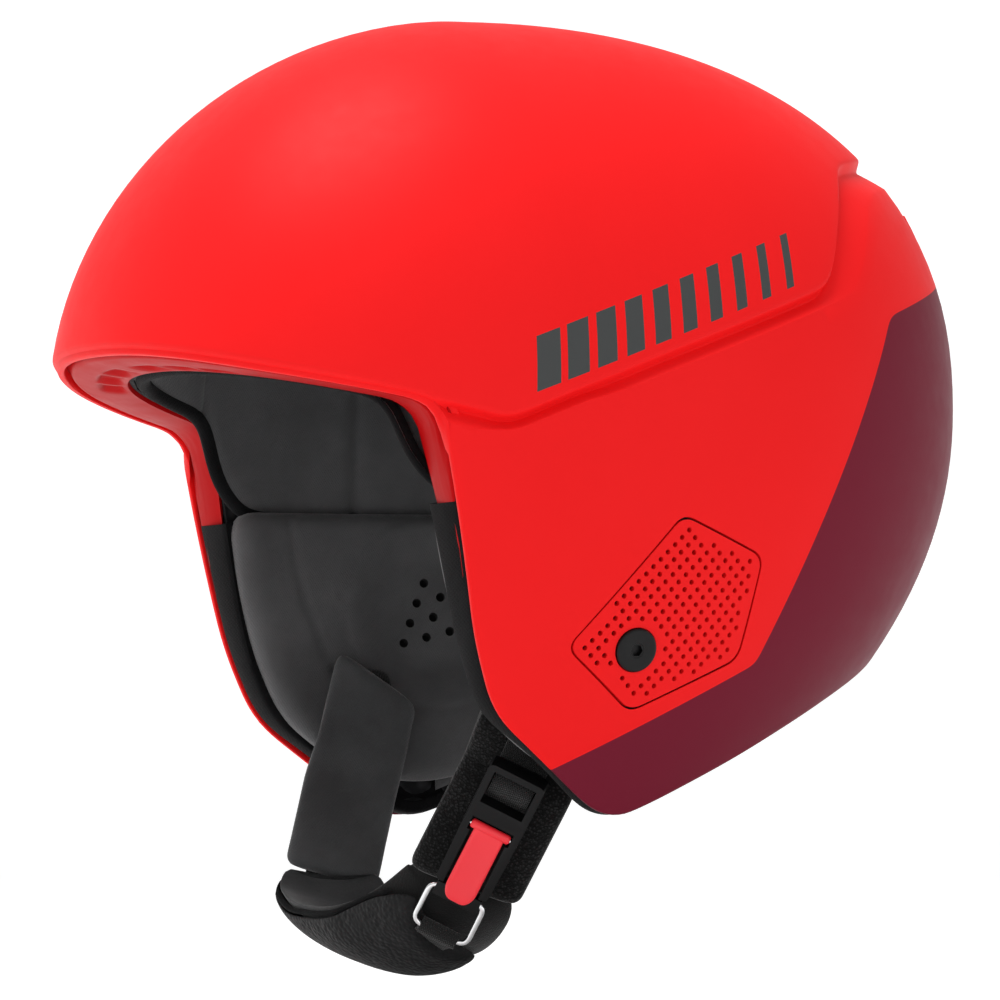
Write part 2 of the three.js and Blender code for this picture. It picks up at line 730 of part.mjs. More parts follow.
piece(
  "buckle_housing",
  "blackPlastic",
  cut(
    housingBlock,
    box(
      HOUSING.window,
      [-HOUSING.windowHalf, HOUSING.windowHalf],
      [HOUSING.base + HOUSING.windowFloor, HOUSING.top + OPEN],
    ),
    pocket,
    barPocket,
    crossRod(LEVER.pin + PIN_BORE, LEVER.pivotX, LEVER.pivotZ, 20),
  ),
  inStrapPlace,
);
piece(
  "lever_pin",
  "steel",
  crossRod(LEVER.pin, LEVER.pivotX, LEVER.pivotZ, housingHalf - barClear),
  inStrapPlace,
);

const leverShape = rounded(
  [
    [LEVER.pivotX, -leverHalf],
    [LEVER.pivotX + LEVER.length, -leverHalf],
    [LEVER.pivotX + LEVER.length, leverHalf],
    [LEVER.pivotX, leverHalf],
  ],
  LEVER.corner,
  true,
  3,
);
const leverRoot = 5;
const leverRootReach = 1;
const leverPlate = solidOf(
  new THREE.ExtrudeGeometry(shapeOf(leverShape), { depth: LEVER.thickness, bevelEnabled: false })
    .translate(0, 0, LEVER.pivotZ - LEVER.thickness / 2),
).add(
  box(
    [LEVER.pivotX, LEVER.pivotX + leverRoot],
    [-leverHalf, leverHalf],
    [LEVER.pivotZ - leverRootReach, LEVER.pivotZ + leverRootReach],
  ),
);
piece(
  "buckle_lever",
  "leverRed",
  cut(
    leverPlate.add(crossRod(LEVER.barR, LEVER.pivotX, LEVER.pivotZ, LEVER.bar / 2)),
    crossRod(LEVER.pin + PIN_BORE, LEVER.pivotX, LEVER.pivotZ, 20),
  ),
  inStrapPlace,
);
const springTop = LEVER.pivotZ - LEVER.thickness / 2 - SPRING.clear;
const springFloor = HOUSING.floor + GAP;
const springAcross = [-SPRING.half, SPRING.half];
piece(
  "lever_spring",
  "steel",
  join(
    box([SPRING.back, SPRING.foot], springAcross, [springFloor, springFloor + SPRING.thickness]),
    box([SPRING.back, SPRING.back + SPRING.thickness], springAcross, [springFloor, springTop]),
    box([SPRING.back, SPRING.tip], springAcross, [springTop - SPRING.thickness, springTop]),
  ),
  inStrapPlace,
);

const tongue = box([TONGUE.start, TONGUE.end], [-TONGUE.width / 2, TONGUE.width / 2], TONGUE.z);
piece(
  "buckle_tongue",
  "blackPlastic",
  cut(tongue, crossRod(WIRE_R + 0.3, RING.upper, RING.z, 20)),
  inStrapPlace,
);

// A round wire bent into a closed oblong.
function wireLoop(x0, x1, half, z, radius) {
  const outline = rounded([[x0, -half], [x1, -half], [x1, half], [x0, half]], RING.corner, true, 4);
  const rings = outline.map(([x, y], i) => {
    const [ax, ay] = outline[(i + outline.length - 1) % outline.length];
    const [bx, by] = outline[(i + 1) % outline.length];
    const out = new THREE.Vector2(by - ay, ax - bx).normalize();
    return around(8, (turn) => {
      const reach = radius * Math.cos(turn);
      return new THREE.Vector3(x + out.x * reach, y + out.y * reach, z + radius * Math.sin(turn));
    });
  });
  return loft(rings, true);
}
piece(
  "wire_ring",
  "steel",
  wireLoop(RING.upper, RING.lower, RING.width / 2, RING.z, WIRE_R),
  inStrapPlace,
);

// ---- Chin cup -------------------------------------------------------------------------

const cupLocal = (x, z) => [...new THREE.Vector3(x, 0, z).applyMatrix4(inLeft)];
const inRight = strapFrame(RIGHT_STRAP);
const cupEnd = [...new THREE.Vector3(RIGHT_LENGTH + CUP_HINGE_GAP, 0, 0).applyMatrix4(inRight)];
const leftAcross = new THREE.Vector3().setFromMatrixColumn(inLeft, 1);
const rightAcross = new THREE.Vector3().setFromMatrixColumn(inRight, 1).negate();
const cupAcross = (t) => leftAcross.clone().lerp(rightAcross, t);
const liningPath = [...CUP_STARTS.map((x) => cupLocal(x, CUP_LOW)), ...CUP_PATH, cupEnd];
const cupWidth = (t) => CUP.width * (0.84 + 0.16 * Math.sin(Math.PI * t));
piece(
  "chin_cup_lining",
  "knit",
  sheet(liningPath, cupAcross, cupWidth, {
    outer: 0,
    inner: CUP.lining,
    curl: CUP.curl,
    cells: 6,
    steps: 16,
  }),
);
const webFace = WEB_THICKNESS + 2 * CUP.webGap;
piece(
  "chin_cup_shell",
  "leather",
  sheet([cupLocal(CUP_SHELL_START, CUP_LOW), ...CUP_PATH, cupEnd], cupAcross, cupWidth, {
    outer: webFace + CUP.shell,
    inner: -webFace,
    curl: CUP.curl,
    cells: 6,
    steps: 14,
  }),
);

// The strap that runs inside the cup: sewn to the right strap at one end, folded
// round the wire at the other.
const loopR = WIRE_R + 0.5;
const loopRing = cut(
  crossRod(loopR + WEB_THICKNESS, RING.lower, RING.z, WEB_WIDTH / 2 - 1.5),
  crossRod(loopR, RING.lower, RING.z, 20),
);
const loopTail = sheet(
  [cupLocal(RING.lower + SLIT_CLEAR, RING.z - loopR - WEB_THICKNESS), ...CUP_PATH, cupEnd],
  cupAcross,
  constant(WEB_WIDTH - 3),
  { outer: CUP.webGap + WEB_THICKNESS, inner: -CUP.webGap, steps: 14 },
);
const loopClear = transformed(
  geometryOf(crossRod(loopR, RING.lower, RING.z, 20)),
  inLeft,
);
piece(
  "chin_cup_webbing",
  "webbing",
  cut(join(transformed(geometryOf(loopRing), inLeft), loopTail), loopClear),
);

// ---- Goggle strap holder -----------------------------------------------------------------

// The skin's point at a height on the back, off the middle by x, raised by a stand.
function backPoint(x, z, stand) {
  const level = (2 / Math.PI) * Math.asin(Math.max(0, z - SKIN.beltZ) / (SKIN.topZ - SKIN.beltZ));
  const low = Math.min(0, z - SKIN.beltZ) / (SKIN.beltZ - SKIN.bottomZ);
  let [near, far] = [Math.PI / 2, Math.PI];
  for (let i = 0; i < 30; i++) {
    const middle = (near + far) / 2;
    if (skin(middle, level + low).x > Math.abs(x)) near = middle;
    else far = middle;
  }
  const p = skin(near, level + low, -stand);
  p.x = x;
  return p;
}

function backSlab(stations, cells) {
  return loft(
    stations.map(([z, half, inner, outer]) => {
      const spread = Array.from({ length: cells + 1 }, (_, k) => half * ((2 * k) / cells - 1));
      return [
        ...spread.map((x) => backPoint(x, z, outer)),
        ...spread.reverse().map((x) => backPoint(x, z, inner)),
      ];
    }),
  );
}

const pinMiddle = backPoint(0, ARM_PIN.z, ARM_PIN.stand);
const alongX = (radius, half, sides) =>
  rod(radius, -half, half, new THREE.Matrix4().makeRotationY(Math.PI / 2).setPosition(pinMiddle), sides);
const armTop = ARM.bow[0][0];
const armEnd = ARM.bow.at(-1)[0];
const arm = backSlab(
  ARM.bow.map(([z, stand]) => {
    const half = ARM.endHalf + ((ARM.topHalf - ARM.endHalf) * (z - armEnd)) / (armTop - armEnd);
    return [z, half, stand, stand + ARM.thickness];
  }),
  4,
).add(alongX(ARM_PIN.knuckle, ARM.topHalf, 12));
piece("goggle_strap_arm", "rubber", cut(arm, alongX(ARM_PIN.radius + PIN_BORE, 60, 12)));
piece("goggle_arm_pin", "steel", alongX(ARM_PIN.radius, ARM_PIN.half, 12));
const clipBlock = backSlab(
  between(CLIP_BASE.low, CLIP_BASE.high, 3)
    .reverse()
    .concat(CLIP_BASE.low)
    .map((z) => [z, CLIP_BASE.half, GAP, CLIP_BASE.proud]),
  4,
);
const armSweep = box(
  [-ARM.topHalf - 0.5, ARM.topHalf + 0.5],
  [0, 200],
  [CLIP_BASE.low - 5, pinMiddle.z + ARM_PIN.knuckle + 0.4],
);
piece(
  "goggle_holder_base",
  "red",
  cut(clipBlock, armSweep, alongX(ARM_PIN.radius + PIN_BORE, 60, 12)),
);
piece(
  "goggle_holder_catch",
  "blackPlastic",
  backSlab([CATCH.high, CATCH.low].map((z) => [z, CATCH.half, GAP, CATCH.proud]), 2),
);

export default group;
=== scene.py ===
"""Looks for the ski helmet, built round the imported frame. Lengths are in
millimetres until a mesh is made. +Z up, face opening towards -Y."""

import json
import math

import bmesh
import bpy
import numpy as np
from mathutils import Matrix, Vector


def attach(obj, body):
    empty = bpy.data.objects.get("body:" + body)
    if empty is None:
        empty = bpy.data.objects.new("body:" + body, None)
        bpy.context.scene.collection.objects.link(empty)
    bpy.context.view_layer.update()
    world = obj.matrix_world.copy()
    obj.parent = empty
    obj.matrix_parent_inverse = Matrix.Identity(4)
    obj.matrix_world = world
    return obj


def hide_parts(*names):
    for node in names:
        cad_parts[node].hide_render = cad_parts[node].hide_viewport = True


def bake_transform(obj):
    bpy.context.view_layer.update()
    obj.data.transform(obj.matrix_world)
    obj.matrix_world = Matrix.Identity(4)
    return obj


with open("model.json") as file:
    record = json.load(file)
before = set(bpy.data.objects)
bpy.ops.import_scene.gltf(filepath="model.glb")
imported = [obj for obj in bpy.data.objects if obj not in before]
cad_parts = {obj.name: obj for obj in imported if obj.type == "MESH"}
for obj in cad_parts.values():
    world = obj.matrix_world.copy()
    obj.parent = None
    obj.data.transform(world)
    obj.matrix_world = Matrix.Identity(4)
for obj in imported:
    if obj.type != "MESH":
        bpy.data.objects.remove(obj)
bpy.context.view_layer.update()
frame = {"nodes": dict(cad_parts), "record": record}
MM = 0.001


def added(name, data):
    made = bpy.data.objects.new(name, data)
    bpy.context.collection.objects.link(made)
    return made


def aimed(made, at):
    """Puts a camera or lamp at a place, looking at the origin."""
    made.location = at
    made.rotation_mode = "QUATERNION"
    made.rotation_quaternion = (-made.location).to_track_quat("-Z", "Y")


# ---- Camera ----

AZIMUTH, ELEVATION, DISTANCE = math.radians(66.5), math.radians(-2.4), 2.230
LENS, SENSOR = 264.9, 36.0
flat_reach = math.cos(ELEVATION)
back = Vector(
    (math.sin(AZIMUTH) * flat_reach, -math.cos(AZIMUTH) * flat_reach, math.sin(ELEVATION))
)
camera_data = bpy.data.cameras.new("camera")
camera_data.lens = LENS
camera_data.sensor_width = SENSOR
camera_data.clip_start, camera_data.clip_end = 0.05, 60.0
camera = added("camera", camera_data)
aimed(camera, back * DISTANCE)
bpy.context.scene.camera = camera

# ---- The helmet's skin ----

CENTRE_Y, HALF_WIDTH, FRONT, BACK = -17.0, 112.0, 119.5, 158.0
BELT_Z, TOP_Z, BOTTOM_Z, PLAN = 28.0, 144.3, -112.0, 2.2
DOME = (1.93, 1.95, 2.32)  # profile powers at the front, side and back
TUCK_BACK, TUCK_BACK_DROP = 0.133, 67.5
TUCK_SIDE, TUCK_FRONT, TUCK_DROP = 0.214, 0.10, 116.0
SHELL, STEP = 2.5, 3.2
FOAM_DEPTH, FOAM_THINNED, THINNING = 24, 9, 1.8  # from the skin to the foam's inner face
LINER = 6.0
EDGE = [
    (-170, 49), (-136, 41), (-111, 33.5), (-93, 29.3), (-64, 22.8), (-58, -8),
    (-51, -44), (-43, -66), (-22.4, -82.5), (-8, -93.8), (2, -96), (12.4, -92),
    (42.2, -78.8), (84.5, -58.5), (112, -46.5), (170, -40),
]
RIDGE = [
    (-170, 49), (-128, 38.5), (-93, 30.4), (-67, 24.2), (-44.6, 18.6), (-30, 24.6),
    (6, 38.8), (64.6, 60.6), (69, 68.8), (72, 76.6), (82.5, 99.5), (117, 106), (170, 112),
]
CREASE = [
    (-170, 43), (-128, 32.5), (-93, 24.4), (-67, 18.2), (-47.4, 14), (8.8, 35.4),
    (73.6, 58.1), (79, 63.9), (85, 76), (92.4, 91), (124, 98), (170, 102),
]
COVER = [(11, -7.8), (40.2, -19.6), (35.4, -49.9), (-0.9, -65.7), (-23.5, -47.1)]
SCREW_AT = (-1.0, -47.5)
EAR_AT = (11.0, -32.0)


def skin(angle, level, depth=0.0):
    """Points by angle from the front (+ is left) and level (1 crown, 0 widest), at a depth."""
    angle, level, depth = np.broadcast_arrays(
        *(np.asarray(v, float) for v in (angle, level, depth))
    )
    s, c = np.sin(angle), np.cos(angle)
    front, back = np.clip(c, 0, None) ** 2, np.clip(-c, 0, None) ** 2
    beside = 1 - front - back
    power = front * DOME[0] + beside * DOME[1] + back * DOME[2]
    up = np.sin(np.clip(level, 0, 1) * np.pi / 2)
    ring_up = np.clip(1 - up**power, 0, None) ** (1 / power)
    z_low = BELT_Z + level * (BELT_Z - BOTTOM_Z)
    drop = np.clip(BELT_Z - z_low, 0, None)
    ring_low = (
        1
        - back * TUCK_BACK * (drop / TUCK_BACK_DROP) ** 2.1
        - (beside * TUCK_SIDE + front * TUCK_FRONT) * (drop / TUCK_DROP) ** 2
    )
    ring = np.where(level >= 0, ring_up, ring_low)
    z = np.where(level >= 0, BELT_Z + (TOP_Z - BELT_Z - depth) * up, z_low)
    reach = np.where(c > 0, FRONT, BACK) - depth
    plan = np.abs(s / (HALF_WIDTH - depth)) ** PLAN + np.abs(c / reach) ** PLAN
    radius = ring * plan ** (-1 / PLAN)
    return np.stack([radius * s, CENTRE_Y - radius * c, z], -1)


def level_of(line, angle, depth=0.0):
    """The level where a side view line crosses the skin, at a depth, at each angle."""
    line = np.asarray(line, float)
    low, high = np.full(np.shape(angle), -1.05), np.ones(np.shape(angle))
    for _ in range(34):
        middle = (low + high) / 2
        p = skin(angle, middle, depth(middle) if callable(depth) else depth)
        above = p[..., 2] > np.interp(p[..., 1], line[:, 0], line[:, 1])
        high, low = np.where(above, middle, high), np.where(above, low, middle)
    return high


def rounded(points, reach, closed=True, steps=5):
    """A line of points with its corners rounded over a reach."""
    made, n = [], len(points)
    for i, p in enumerate(points):
        p = np.asarray(p, float)
        if not closed and i in (0, n - 1):
            made.append(p)
            continue
        ends = []
        for q in (points[i - 1], points[(i + 1) % n]):
            d = np.asarray(q, float) - p
            length = np.linalg.norm(d)
            ends.append(p + d * min(reach, length / 2.2) / length)
        for t in np.linspace(0, 1, steps + 1):
            made.append((1 - t) ** 2 * ends[0] + 2 * t * (1 - t) * p + t * t * ends[1])
    return np.array(made)


def shifted(points, distance):
    """A side view line moved square to itself."""
    p = np.asarray(points, float)
    d = np.roll(p, -1, 0) - np.roll(p, 1, 0)
    d[0], d[-1] = p[1] - p[0], p[-1] - p[-2]
    d /= np.linalg.norm(d, axis=1)[:, None]
    return p + np.stack([-d[:, 1], d[:, 0]], 1) * distance


def edge_line(lift):
    return rounded(shifted(EDGE, lift), 9, False)


def rim_point(angle, depth, lift):
    """A point at a depth under the skin, raised by a lift above the helmet's edge."""
    line = edge_line(lift)
    return skin(angle, level_of(line, angle, depth), depth)


def level_at(z, depth=0.0):
    up = np.clip((z - BELT_Z) / (TOP_Z - BELT_Z - depth), 0, 1)
    return np.where(z >= BELT_Z, np.arcsin(up) * 2 / np.pi, (z - BELT_Z) / (BELT_Z - BOTTOM_Z))


def side_point(y, z, depth=0.0, side=1):
    """The point at a depth under the skin on one side, given in side view."""
    y, z = np.asarray(y, float), np.asarray(z, float)
    level = level_at(z, depth)
    low, high = np.zeros(np.shape(y)), np.full(np.shape(y), np.pi)
    for _ in range(40):
        middle = (low + high) / 2
        ahead = skin(middle, level, depth)[..., 1] < y
        low, high = np.where(ahead, middle, low), np.where(ahead, high, middle)
    p = skin(low, level, depth)
    p[..., 0] *= side
    return p


def skin_normal(p):
    level = level_at(p[..., 2])
    angle = np.arctan2(p[..., 0], CENTRE_Y - p[..., 1])
    da = skin(angle + 2e-3, level) - skin(angle - 2e-3, level)
    dl = skin(angle, level + 2e-3) - skin(angle, level - 2e-3)
    n = np.cross(da, dl)
    return n / np.linalg.norm(n, axis=-1, keepdims=True)


def foam_inner(level):
    return FOAM_DEPTH - FOAM_THINNED * np.clip(np.clip(-level, 0, None) * THINNING, 0, 1)


# ---- Meshes ----


def grid_faces(rows, columns, wrap):
    """Quads between rows of points; the far column joins the first where it wraps."""
    span = columns if wrap else columns - 1
    r, c = np.meshgrid(np.arange(rows - 1), np.arange(span), indexing="ij")
    a = r * columns + c
    b = r * columns + (c + 1) % columns
    quads = np.stack([a, b, b + columns, a + columns], -1)
    return quads.reshape(-1, 4).tolist()


def make(name, points, faces, body, look, slot, replaces=(), sharp=40, smooth=True):
    mesh = bpy.data.meshes.new(name)
    mesh.from_pydata((np.asarray(points, float) * MM).tolist(), [], faces)
    mesh.validate()
    made = added(name, mesh)
    mesh.materials.append(look)
    face_out(made)
    if smooth:
        mesh.shade_smooth()
        mesh.set_sharp_from_angle(angle=math.radians(sharp))
    dress(made, body, replaces)
    return made


def dress(made, body, replaces=()):
    if body:
        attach(made, body)
    if replaces:
        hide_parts(*replaces)


def face_out(made):
    bm = bmesh.new()
    bm.from_mesh(made.data)
    bmesh.ops.recalc_face_normals(bm, faces=bm.faces)
    bm.to_mesh(made.data)
    bm.free()


def tipped(rings, first, last):
    """Rings between two tips, as points and faces."""
    rings = np.asarray(rings)
    n, c = rings.shape[:2]
    points = np.vstack([rings.reshape(-1, 3), first, last])
    faces = grid_faces(n, c, True)
    faces += [[i, (i + 1) % c, n * c] for i in range(c)]
    start = (n - 1) * c
    faces += [[start + i, start + (i + 1) % c, n * c + 1] for i in range(c)]
    return points, faces


def loft(name, rings, body, look, slot, replaces=(), closed=False, sharp=40):
    """Rings of equally many points as one surface, with fans over its two ends."""
    rings = np.asarray(rings, float)
    rows, columns = rings.shape[:2]
    if closed:
        points = rings.reshape(-1, 3)
        faces = grid_faces(rows + 1, columns, True)
        faces = [[v % (rows * columns) for v in f] for f in faces]
    else:
        points, faces = tipped(rings, rings[0].mean(0), rings[-1].mean(0))
    return make(name, points, faces, body, look, slot, replaces, sharp)


def applied(made):
    """Turns the object's modifiers into mesh."""
    graph = bpy.context.evaluated_depsgraph_get()
    mesh = bpy.data.meshes.new_from_object(made.evaluated_get(graph))
    old = made.data
    made.modifiers.clear()
    made.data = mesh
    bpy.data.meshes.remove(old)
    return made


def carve(made, points, faces, operation="DIFFERENCE", look=None):
    """Cuts an object with a tool; the cut's faces take the look, where one is given."""
    tool = make("tool", points, faces, None, made.data.materials[0], None, smooth=False)
    if look:
        made.data.materials.append(look)
        tool.data.materials.append(look)
        tool.data.polygons.foreach_set("material_index", [1] * len(tool.data.polygons))
    mod = made.modifiers.new("cut", "BOOLEAN")
    mod.operation = operation
    mod.object = tool
    mod.solver = "MANIFOLD"
    applied(made)
    bpy.data.objects.remove(tool)


def tube_faces(n):
    """The sides and both ends of a tube of two rings of n points."""
    sides = [[i, (i + 1) % n, n + (i + 1) % n, n + i] for i in range(n)]
    return sides + [list(range(n)), list(range(n, 2 * n))]


def prism(outline, x0, x1):
    points = [(x, y, z) for x in (x0, x1) for y, z in outline]
    return points, tube_faces(len(outline))


def around(count):
    return np.arange(count) * 2 * np.pi / count


def ring_of(sides, radius, u, v):
    turn = around(sides)
    return radius * (np.cos(turn)[:, None] * u + np.sin(turn)[:, None] * v)


def bevelled(node, name, look, width, segments):
    """A CAD node's own shape with its edges rounded, as a moulding's are."""
    source = frame["nodes"][node]
    mesh = source.data.copy()
    bm = bmesh.new()
    bm.from_mesh(mesh)
    bmesh.ops.remove_doubles(bm, verts=bm.verts, dist=2e-5)
    bmesh.ops.dissolve_limit(
        bm, angle_limit=math.radians(1.5), verts=bm.verts, edges=bm.edges
    )
    bm.to_mesh(mesh)
    bm.free()
    made = added(name, mesh)
    mesh.materials.clear()
    mesh.materials.append(look)
    mod = made.modifiers.new("edges", "BEVEL")
    mod.width = width * MM
    mod.segments = segments
    mod.limit_method = "ANGLE"
    mod.angle_limit = math.radians(35)
    mod.use_clamp_overlap = True
    applied(made)
    made.data.shade_smooth()
    made.data.set_sharp_from_angle(angle=math.radians(45))
    bodies = frame["record"]["behaviour"]["bodies"].items()
    dress(made, next(body for body, nodes in bodies if node in nodes), (node,))


# ---- Materials ----


def linear(*rgb):
    return tuple(
        (v / 255 / 12.92) if v <= 10 else ((v / 255 + 0.055) / 1.055) ** 2.4 for v in rgb
    ) + (1.0,)


class Look:
    """A procedural material in the object's own coordinates, in millimetres."""

    def __init__(self, name, color, roughness, metallic=0.0, specular=0.5, sheen=(0.0, 0.5)):
        self.mat = bpy.data.materials.new(name)
        self.mat.use_nodes = True
        self.tree = self.mat.node_tree
        self.bsdf = self.tree.nodes["Principled BSDF"]
        self.bsdf.inputs["Base Color"].default_value = color
        self.bsdf.inputs["Roughness"].default_value = roughness
        self.bsdf.inputs["Metallic"].default_value = metallic
        self.bsdf.inputs["Specular IOR Level"].default_value = specular
        self.bsdf.inputs["Sheen Weight"].default_value = sheen[0]
        self.bsdf.inputs["Sheen Roughness"].default_value = sheen[1]
        self.mat.diffuse_color = color
        place = self.node("ShaderNodeTexCoord").outputs["Object"]
        scale = self.node("ShaderNodeVectorMath", operation="SCALE")
        self.tree.links.new(place, scale.inputs[0])
        scale.inputs["Scale"].default_value = 1000.0
        self.mm = scale.outputs["Vector"]

    def node(self, kind, **settings):
        made = self.tree.nodes.new(kind)
        for key, value in settings.items():
            setattr(made, key, value)
        return made

    def put(self, socket, value):
        if isinstance(value, bpy.types.NodeSocket):
            self.tree.links.new(value, socket)
        else:
            socket.default_value = value

    def math(self, operation, *values):
        made = self.node("ShaderNodeMath", operation=operation)
        for socket, value in zip(made.inputs, values):
            self.put(socket, value)
        return made.outputs[0]

    def dot(self, vector):
        made = self.node("ShaderNodeVectorMath", operation="DOT_PRODUCT")
        self.put(made.inputs[0], self.mm)
        made.inputs[1].default_value = vector
        return made.outputs["Value"]

    def noise(self, size, detail=3.0, roughness=0.55):
        made = self.node("ShaderNodeTexNoise")
        self.put(made.inputs["Vector"], self.mm)
        made.inputs["Scale"].default_value = 1.0 / size
        made.inputs["Detail"].default_value = detail
        made.inputs["Roughness"].default_value = roughness
        return made.outputs[0]

    def cells(self, size, feature="F1", smoothness=0.4):
        made = self.node("ShaderNodeTexVoronoi", feature=feature)
        self.put(made.inputs["Vector"], self.mm)
        made.inputs["Scale"].default_value = 1.0 / size
        if feature == "SMOOTH_F1":
            made.inputs["Smoothness"].default_value = smoothness
        return made.outputs["Distance"]

    def wave(self, size, vector, distortion=0.0):
        """Ridges one size apart across a direction."""
        phase = self.math("MULTIPLY", self.dot(vector), 2 * math.pi / size)
        if distortion:
            wander = self.math("MULTIPLY", self.noise(size * 3), distortion)
            phase = self.math("ADD", phase, wander)
        return self.math("SINE", phase)

    def mix(self, factor, a, b):
        made = self.node("ShaderNodeMix", data_type="RGBA")
        self.put(made.inputs["Factor"], factor)
        self.put(made.inputs[6], a)
        self.put(made.inputs[7], b)
        return made.outputs[2]

    def ramp(self, value, low, high, to_low=0.0, to_high=1.0):
        made = self.node("ShaderNodeMapRange")
        self.put(made.inputs["Value"], value)
        for key, number in (
            ("From Min", low), ("From Max", high), ("To Min", to_low), ("To Max", to_high)
        ):
            made.inputs[key].default_value = number
        return made.outputs["Result"]

    def color(self, value):
        self.put(self.bsdf.inputs["Base Color"], value)

    def bump(self, height, distance, strength=1.0):
        """Adds a height in units of a distance in millimetres."""
        made = self.node("ShaderNodeBump")
        made.inputs["Strength"].default_value = strength
        made.inputs["Distance"].default_value = distance * MM
        self.put(made.inputs["Height"], height)
        before = self.bsdf.inputs["Normal"]
        if before.is_linked:
            self.put(made.inputs["Normal"], before.links[0].from_socket)
        self.put(before, made.outputs["Normal"])

    def vary(self, a, b, size=30.0):
        """Mottles the base colour between two tones."""
        tone = self.ramp(self.noise(size, 4.0), 0.35, 0.65)
        self.color(self.mix(tone, a, b))

    def rough(self, low, high, size=12.0):
        self.put(self.bsdf.inputs["Roughness"], self.ramp(self.noise(size), 0.3, 0.7, low, high))


RED = linear(240, 28, 30)
MAROON = linear(112, 26, 45)
MARK_GREY = linear(72, 74, 74)


def shell_look():
    look = Look("shell_lacquer", RED, 0.42, specular=0.06)
    # The maroon panel: behind one line and below another, or below a third.
    behind = look.math("SUBTRACT", look.dot((0, 0.909, -0.416)), 59.65)
    below = look.math("ADD", look.dot((0, 0.333, -0.943)), 20.08)
    lower = look.math("SUBTRACT", look.dot((0, 0.4318, -0.9025)), 64.3)
    panel = look.math("SMOOTH_MIN", behind, below, 4.0)
    panel = look.math("SMOOTH_MAX", panel, lower, 3.0)
    maroon = look.ramp(panel, -0.06, 0.06)
    # Plain slanted bars over the ridge on each side.
    along = look.math("ADD", look.dot((0, 0.9333, 0.359)), 24.75)
    across = look.math("SUBTRACT", look.dot((0, -0.359, 0.9333)), 37.6)
    slanted = look.math("SUBTRACT", along, look.math("MULTIPLY", across, 0.4))
    bar = look.math("FRACT", look.math("DIVIDE", slanted, 10.1))
    width = look.ramp(slanted, 0, 101, 0.82, 0.26)
    inside = look.math("LESS_THAN", bar, width)
    for test, value, limit in (
        ("GREATER_THAN", slanted, 0.0), ("LESS_THAN", slanted, 100.0),
        ("GREATER_THAN", across, 0.0), ("LESS_THAN", across, 15.0),
    ):
        inside = look.math("MULTIPLY", inside, look.math(test, value, limit))
    tint = look.ramp(look.noise(60, 2.0), 0.3, 0.7)
    red = look.mix(tint, RED, linear(242, 30, 32))
    color = look.mix(maroon, red, MAROON)
    look.color(look.mix(inside, color, MARK_GREY))
    rough = look.ramp(look.noise(7, 3.0), 0.3, 0.7, 0.42, 0.48)
    look.put(look.bsdf.inputs["Roughness"], rough)
    look.bump(look.noise(1.6, 2.0), 0.006)
    look.bump(look.noise(0.35, 1.0), 0.003)
    return look.mat


def rim_look():
    look = Look("rim_gloss", linear(182, 10, 14), 0.4, specular=0.03)
    look.rough(0.36, 0.46)
    look.bump(look.noise(2.5), 0.01)
    return look.mat


def knit_look(name="liner_knit", dark=(80, 80, 81), light=(92, 92, 93), sheen=0.3):
    look = Look(name, linear(*light), 0.95, specular=0.1, sheen=(sheen, 0.45))
    courses = look.wave(1.15, (0, 0.24, 1), 0.5)
    wales = look.wave(0.95, (0.35, 1, 0), 0.5)
    loops = look.math("MULTIPLY", courses, wales)
    fuzz = look.noise(0.5, 4.0, 0.7)
    height = look.math("ADD", look.math("MULTIPLY", loops, 0.2), fuzz)
    patches = look.math("ADD", look.noise(24, 4.0), look.math("MULTIPLY", fuzz, 0.35))
    tone = look.ramp(patches, 0.5, 0.85)
    look.color(look.mix(tone, linear(*dark), linear(*light)))
    look.bump(height, 0.16)
    look.bump(look.noise(9.0, 2.0), 0.5, 0.6)
    return look.mat


def pile_look():
    look = Look("loop_pile", linear(22, 22, 22), 1.0, specular=0.1, sheen=(0.25, 0.5))
    tufts = look.cells(0.9, "SMOOTH_F1", 0.4)
    fuzz = look.noise(0.5, 3.0, 0.7)
    look.color(look.mix(look.ramp(tufts, 0.45, 0.1), linear(6, 6, 6), linear(42, 42, 42)))
    look.bump(look.math("SUBTRACT", fuzz, tufts), 0.22)
    return look.mat


def webbing_look():
    look = Look("webbing", linear(20, 20, 20), 0.75, specular=0.3, sheen=(0.15, 0.5))
    ribs = look.wave(1.1, (0.55, 0.25, 0.8))
    cross = look.wave(0.8, (0.35, 0.82, -0.45))
    weave = look.math("MULTIPLY", ribs, cross)
    look.color(look.mix(look.ramp(weave, -1, 1), linear(7, 7, 7), linear(18, 18, 18)))
    look.bump(weave, 0.14)
    return look.mat


def leather_look():
    look = Look("pebbled_leather", linear(24, 24, 25), 0.6, specular=0.2)
    pebble = look.cells(1.5, "SMOOTH_F1", 0.35)
    look.rough(0.52, 0.66, 3.0)
    look.vary(linear(12, 12, 13), linear(19, 19, 20), 10.0)
    look.bump(look.math("MULTIPLY", pebble, -1.0), 0.45)
    look.bump(look.noise(0.4, 2.0), 0.05)
    return look.mat


def cup_lining_look():
    """The sleeve's knit at the closed end. Painted shade takes it to black towards the buckle, at
    the cup's mouth.
    """
    look = Look("cup_lining_knit", linear(40, 40, 41), 0.92, specular=0.2, sheen=(0.3, 0.5))
    # Painted shade: the knit darkens to black towards the buckle end, where the cup's mouth lies in
    # shade.
    towards = look.ramp(look.dot((1, 0, 0)), -16, 6)
    fuzz = look.noise(0.6, 4.0, 0.7)
    grey = look.mix(fuzz, linear(44, 44, 45), linear(70, 71, 72))
    look.color(look.mix(towards, grey, linear(11, 11, 11)))
    look.bump(fuzz, 0.2)
    return look.mat


